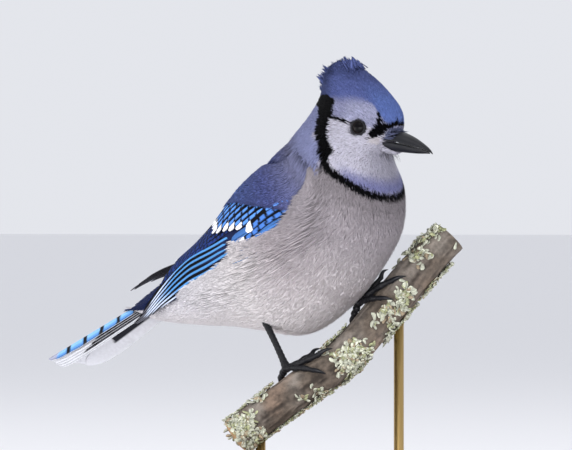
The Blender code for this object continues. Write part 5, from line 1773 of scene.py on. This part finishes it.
class JayPerch(bpy.types.PropertyGroup):
    """Sizes and colours of perch and stand."""

    bark_relief: FloatProperty(
        name="Bark Relief", description="Depth of the bark's ridges, as a share of the real one",
        default=1.0, min=0.0, max=1.3, subtype="FACTOR",
    )
    lichen: IntProperty(
        name="Lichen", description="Number of places tried for a lobe of lichen",
        default=7000, min=0, max=9000,
    )
    bark: shade("Bark", "Grey brown of the bark", "#685F57")
    walnut: shade("Walnut", "Brown of the turned base", "#6E4A31")


class JayStage(bpy.types.PropertyGroup):
    """Light and floor."""

    sky: FloatProperty(
        name="Sky", description="Strength of the soft sky",
        default=0.95, min=0, max=2, subtype="FACTOR",
    )
    key: FloatProperty(
        name="Key Light", description="Power of which each softbox has its share",
        default=7.0, min=0, max=40, unit="POWER",
    )
    floor: shade("Floor", "Colour of the floor", "#F0F0F2")


class JAY_OT_plumage(bpy.types.Operator):
    """Makes the skin and the coat of small feathers."""

    bl_idname = "jay.plumage"
    bl_label = "Skin and Coat"

    def execute(self, context):
        settings = context.scene.jay_plumage
        barbs, tones = feather_keratin(), plumage_tones(settings)
        make_skin(barbs, tones)
        make_coat(barbs, tones, settings.feather_scale)
        make_wing_cover(barbs, tones)
        make_crest(barbs, tones)
        return {"FINISHED"}


class JAY_OT_wings(bpy.types.Operator):
    """Makes the folded wings and the tail."""

    bl_idname = "jay.wings"
    bl_label = "Wings and Tail"

    def execute(self, context):
        settings = context.scene.jay_plumage
        barbs = bpy.data.materials["feather barbs"]
        blues = [np.array(c) for c in (settings.primary, settings.secondary, settings.covert)]
        for side, node in ((-1, "wing_right"), (1, "wing_left")):
            make_wing(side, node + "_vanes", node, barbs, blues)
            make_wing_bed(side, node + "_vanes_bed", barbs)
        make_tail(barbs, np.array(settings.tail))
        return {"FINISHED"}


class JAY_OT_head(bpy.types.Operator):
    """Makes the bill, its bristles, the eyes and their lids."""

    bl_idname = "jay.head"
    bl_label = "Bill and Eyes"

    def execute(self, context):
        settings = context.scene.jay_head
        make_bill(bill_horn(np.array(settings.horn)))
        tones = plumage_tones(context.scene.jay_plumage)
        make_bristles(bpy.data.materials["feather barbs"], tones)
        make_eyes(wet_eye(np.array(settings.iris)), leg_skin(), settings.eye_radius / MM)
        return {"FINISHED"}


class JAY_OT_feet(bpy.types.Operator):
    """Makes the legs, toes and claws."""

    bl_idname = "jay.feet"
    bl_label = "Feet"

    def execute(self, context):
        make_feet(bpy.data.materials["scaly leg skin"], bpy.data.materials["dark bill horn"])
        return {"FINISHED"}


class JAY_OT_perch(bpy.types.Operator):
    """Makes the branch, its lichen and the stand."""

    bl_idname = "jay.perch"
    bl_label = "Perch and Stand"

    def execute(self, context):
        settings = context.scene.jay_perch
        make_perch(branch_bark(), np.array(settings.bark), settings.bark_relief)
        make_lichen(leafy_lichen(), settings.lichen)
        make_stand(turned_walnut(np.array(settings.walnut)), brushed_brass())
        return {"FINISHED"}


class JAY_OT_stage(bpy.types.Operator):
    """Makes the floor, the lights and the camera."""

    bl_idname = "jay.stage"
    bl_label = "Stage"

    def execute(self, context):
        make_stage(context.scene.jay_stage)
        return {"FINISHED"}


class JAY_PT_panel(bpy.types.Panel):
    """Lists the pieces of the blue jay with their sizes and colours."""

    bl_idname = "JAY_PT_panel"
    bl_label = "Blue Jay"
    bl_space_type = "VIEW_3D"
    bl_region_type = "UI"
    bl_category = "Blue Jay"

    def draw(self, context):
        for prop, group, operators in GROUPS:
            box = self.layout.box()
            settings = getattr(context.scene, prop)
            for key in group.__annotations__:
                box.prop(settings, key)
            for operator in operators:
                box.operator(operator.bl_idname)
        self.layout.operator(JAY_OT_feet.bl_idname)


GROUPS = (
    ("jay_plumage", JayPlumage, (JAY_OT_plumage, JAY_OT_wings)),
    ("jay_head", JayHead, (JAY_OT_head,)),
    ("jay_perch", JayPerch, (JAY_OT_perch,)),
    ("jay_stage", JayStage, (JAY_OT_stage,)),
)
CLASSES = (
    JayPlumage, JayHead, JayPerch, JayStage, JAY_OT_plumage, JAY_OT_wings, JAY_OT_head,
    JAY_OT_feet, JAY_OT_perch, JAY_OT_stage, JAY_PT_panel,
)


def register():
    """Registers the classes and hangs each group of settings on the scene."""
    for kind in CLASSES:
        bpy.utils.register_class(kind)
    for prop, group, _ in GROUPS:
        setattr(bpy.types.Scene, prop, PointerProperty(type=group))


def unregister():
    """Takes the settings and the classes away again."""
    for prop, _, _ in GROUPS:
        delattr(bpy.types.Scene, prop)
    for kind in reversed(CLASSES):
        bpy.utils.unregister_class(kind)


def main():
    """Registers the add-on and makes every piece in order."""
    register()
    bpy.ops.jay.plumage()
    bpy.ops.jay.wings()
    bpy.ops.jay.head()
    bpy.ops.jay.feet()
    bpy.ops.jay.perch()
    bpy.ops.jay.stage()


if __name__ == "__main__":
    main()
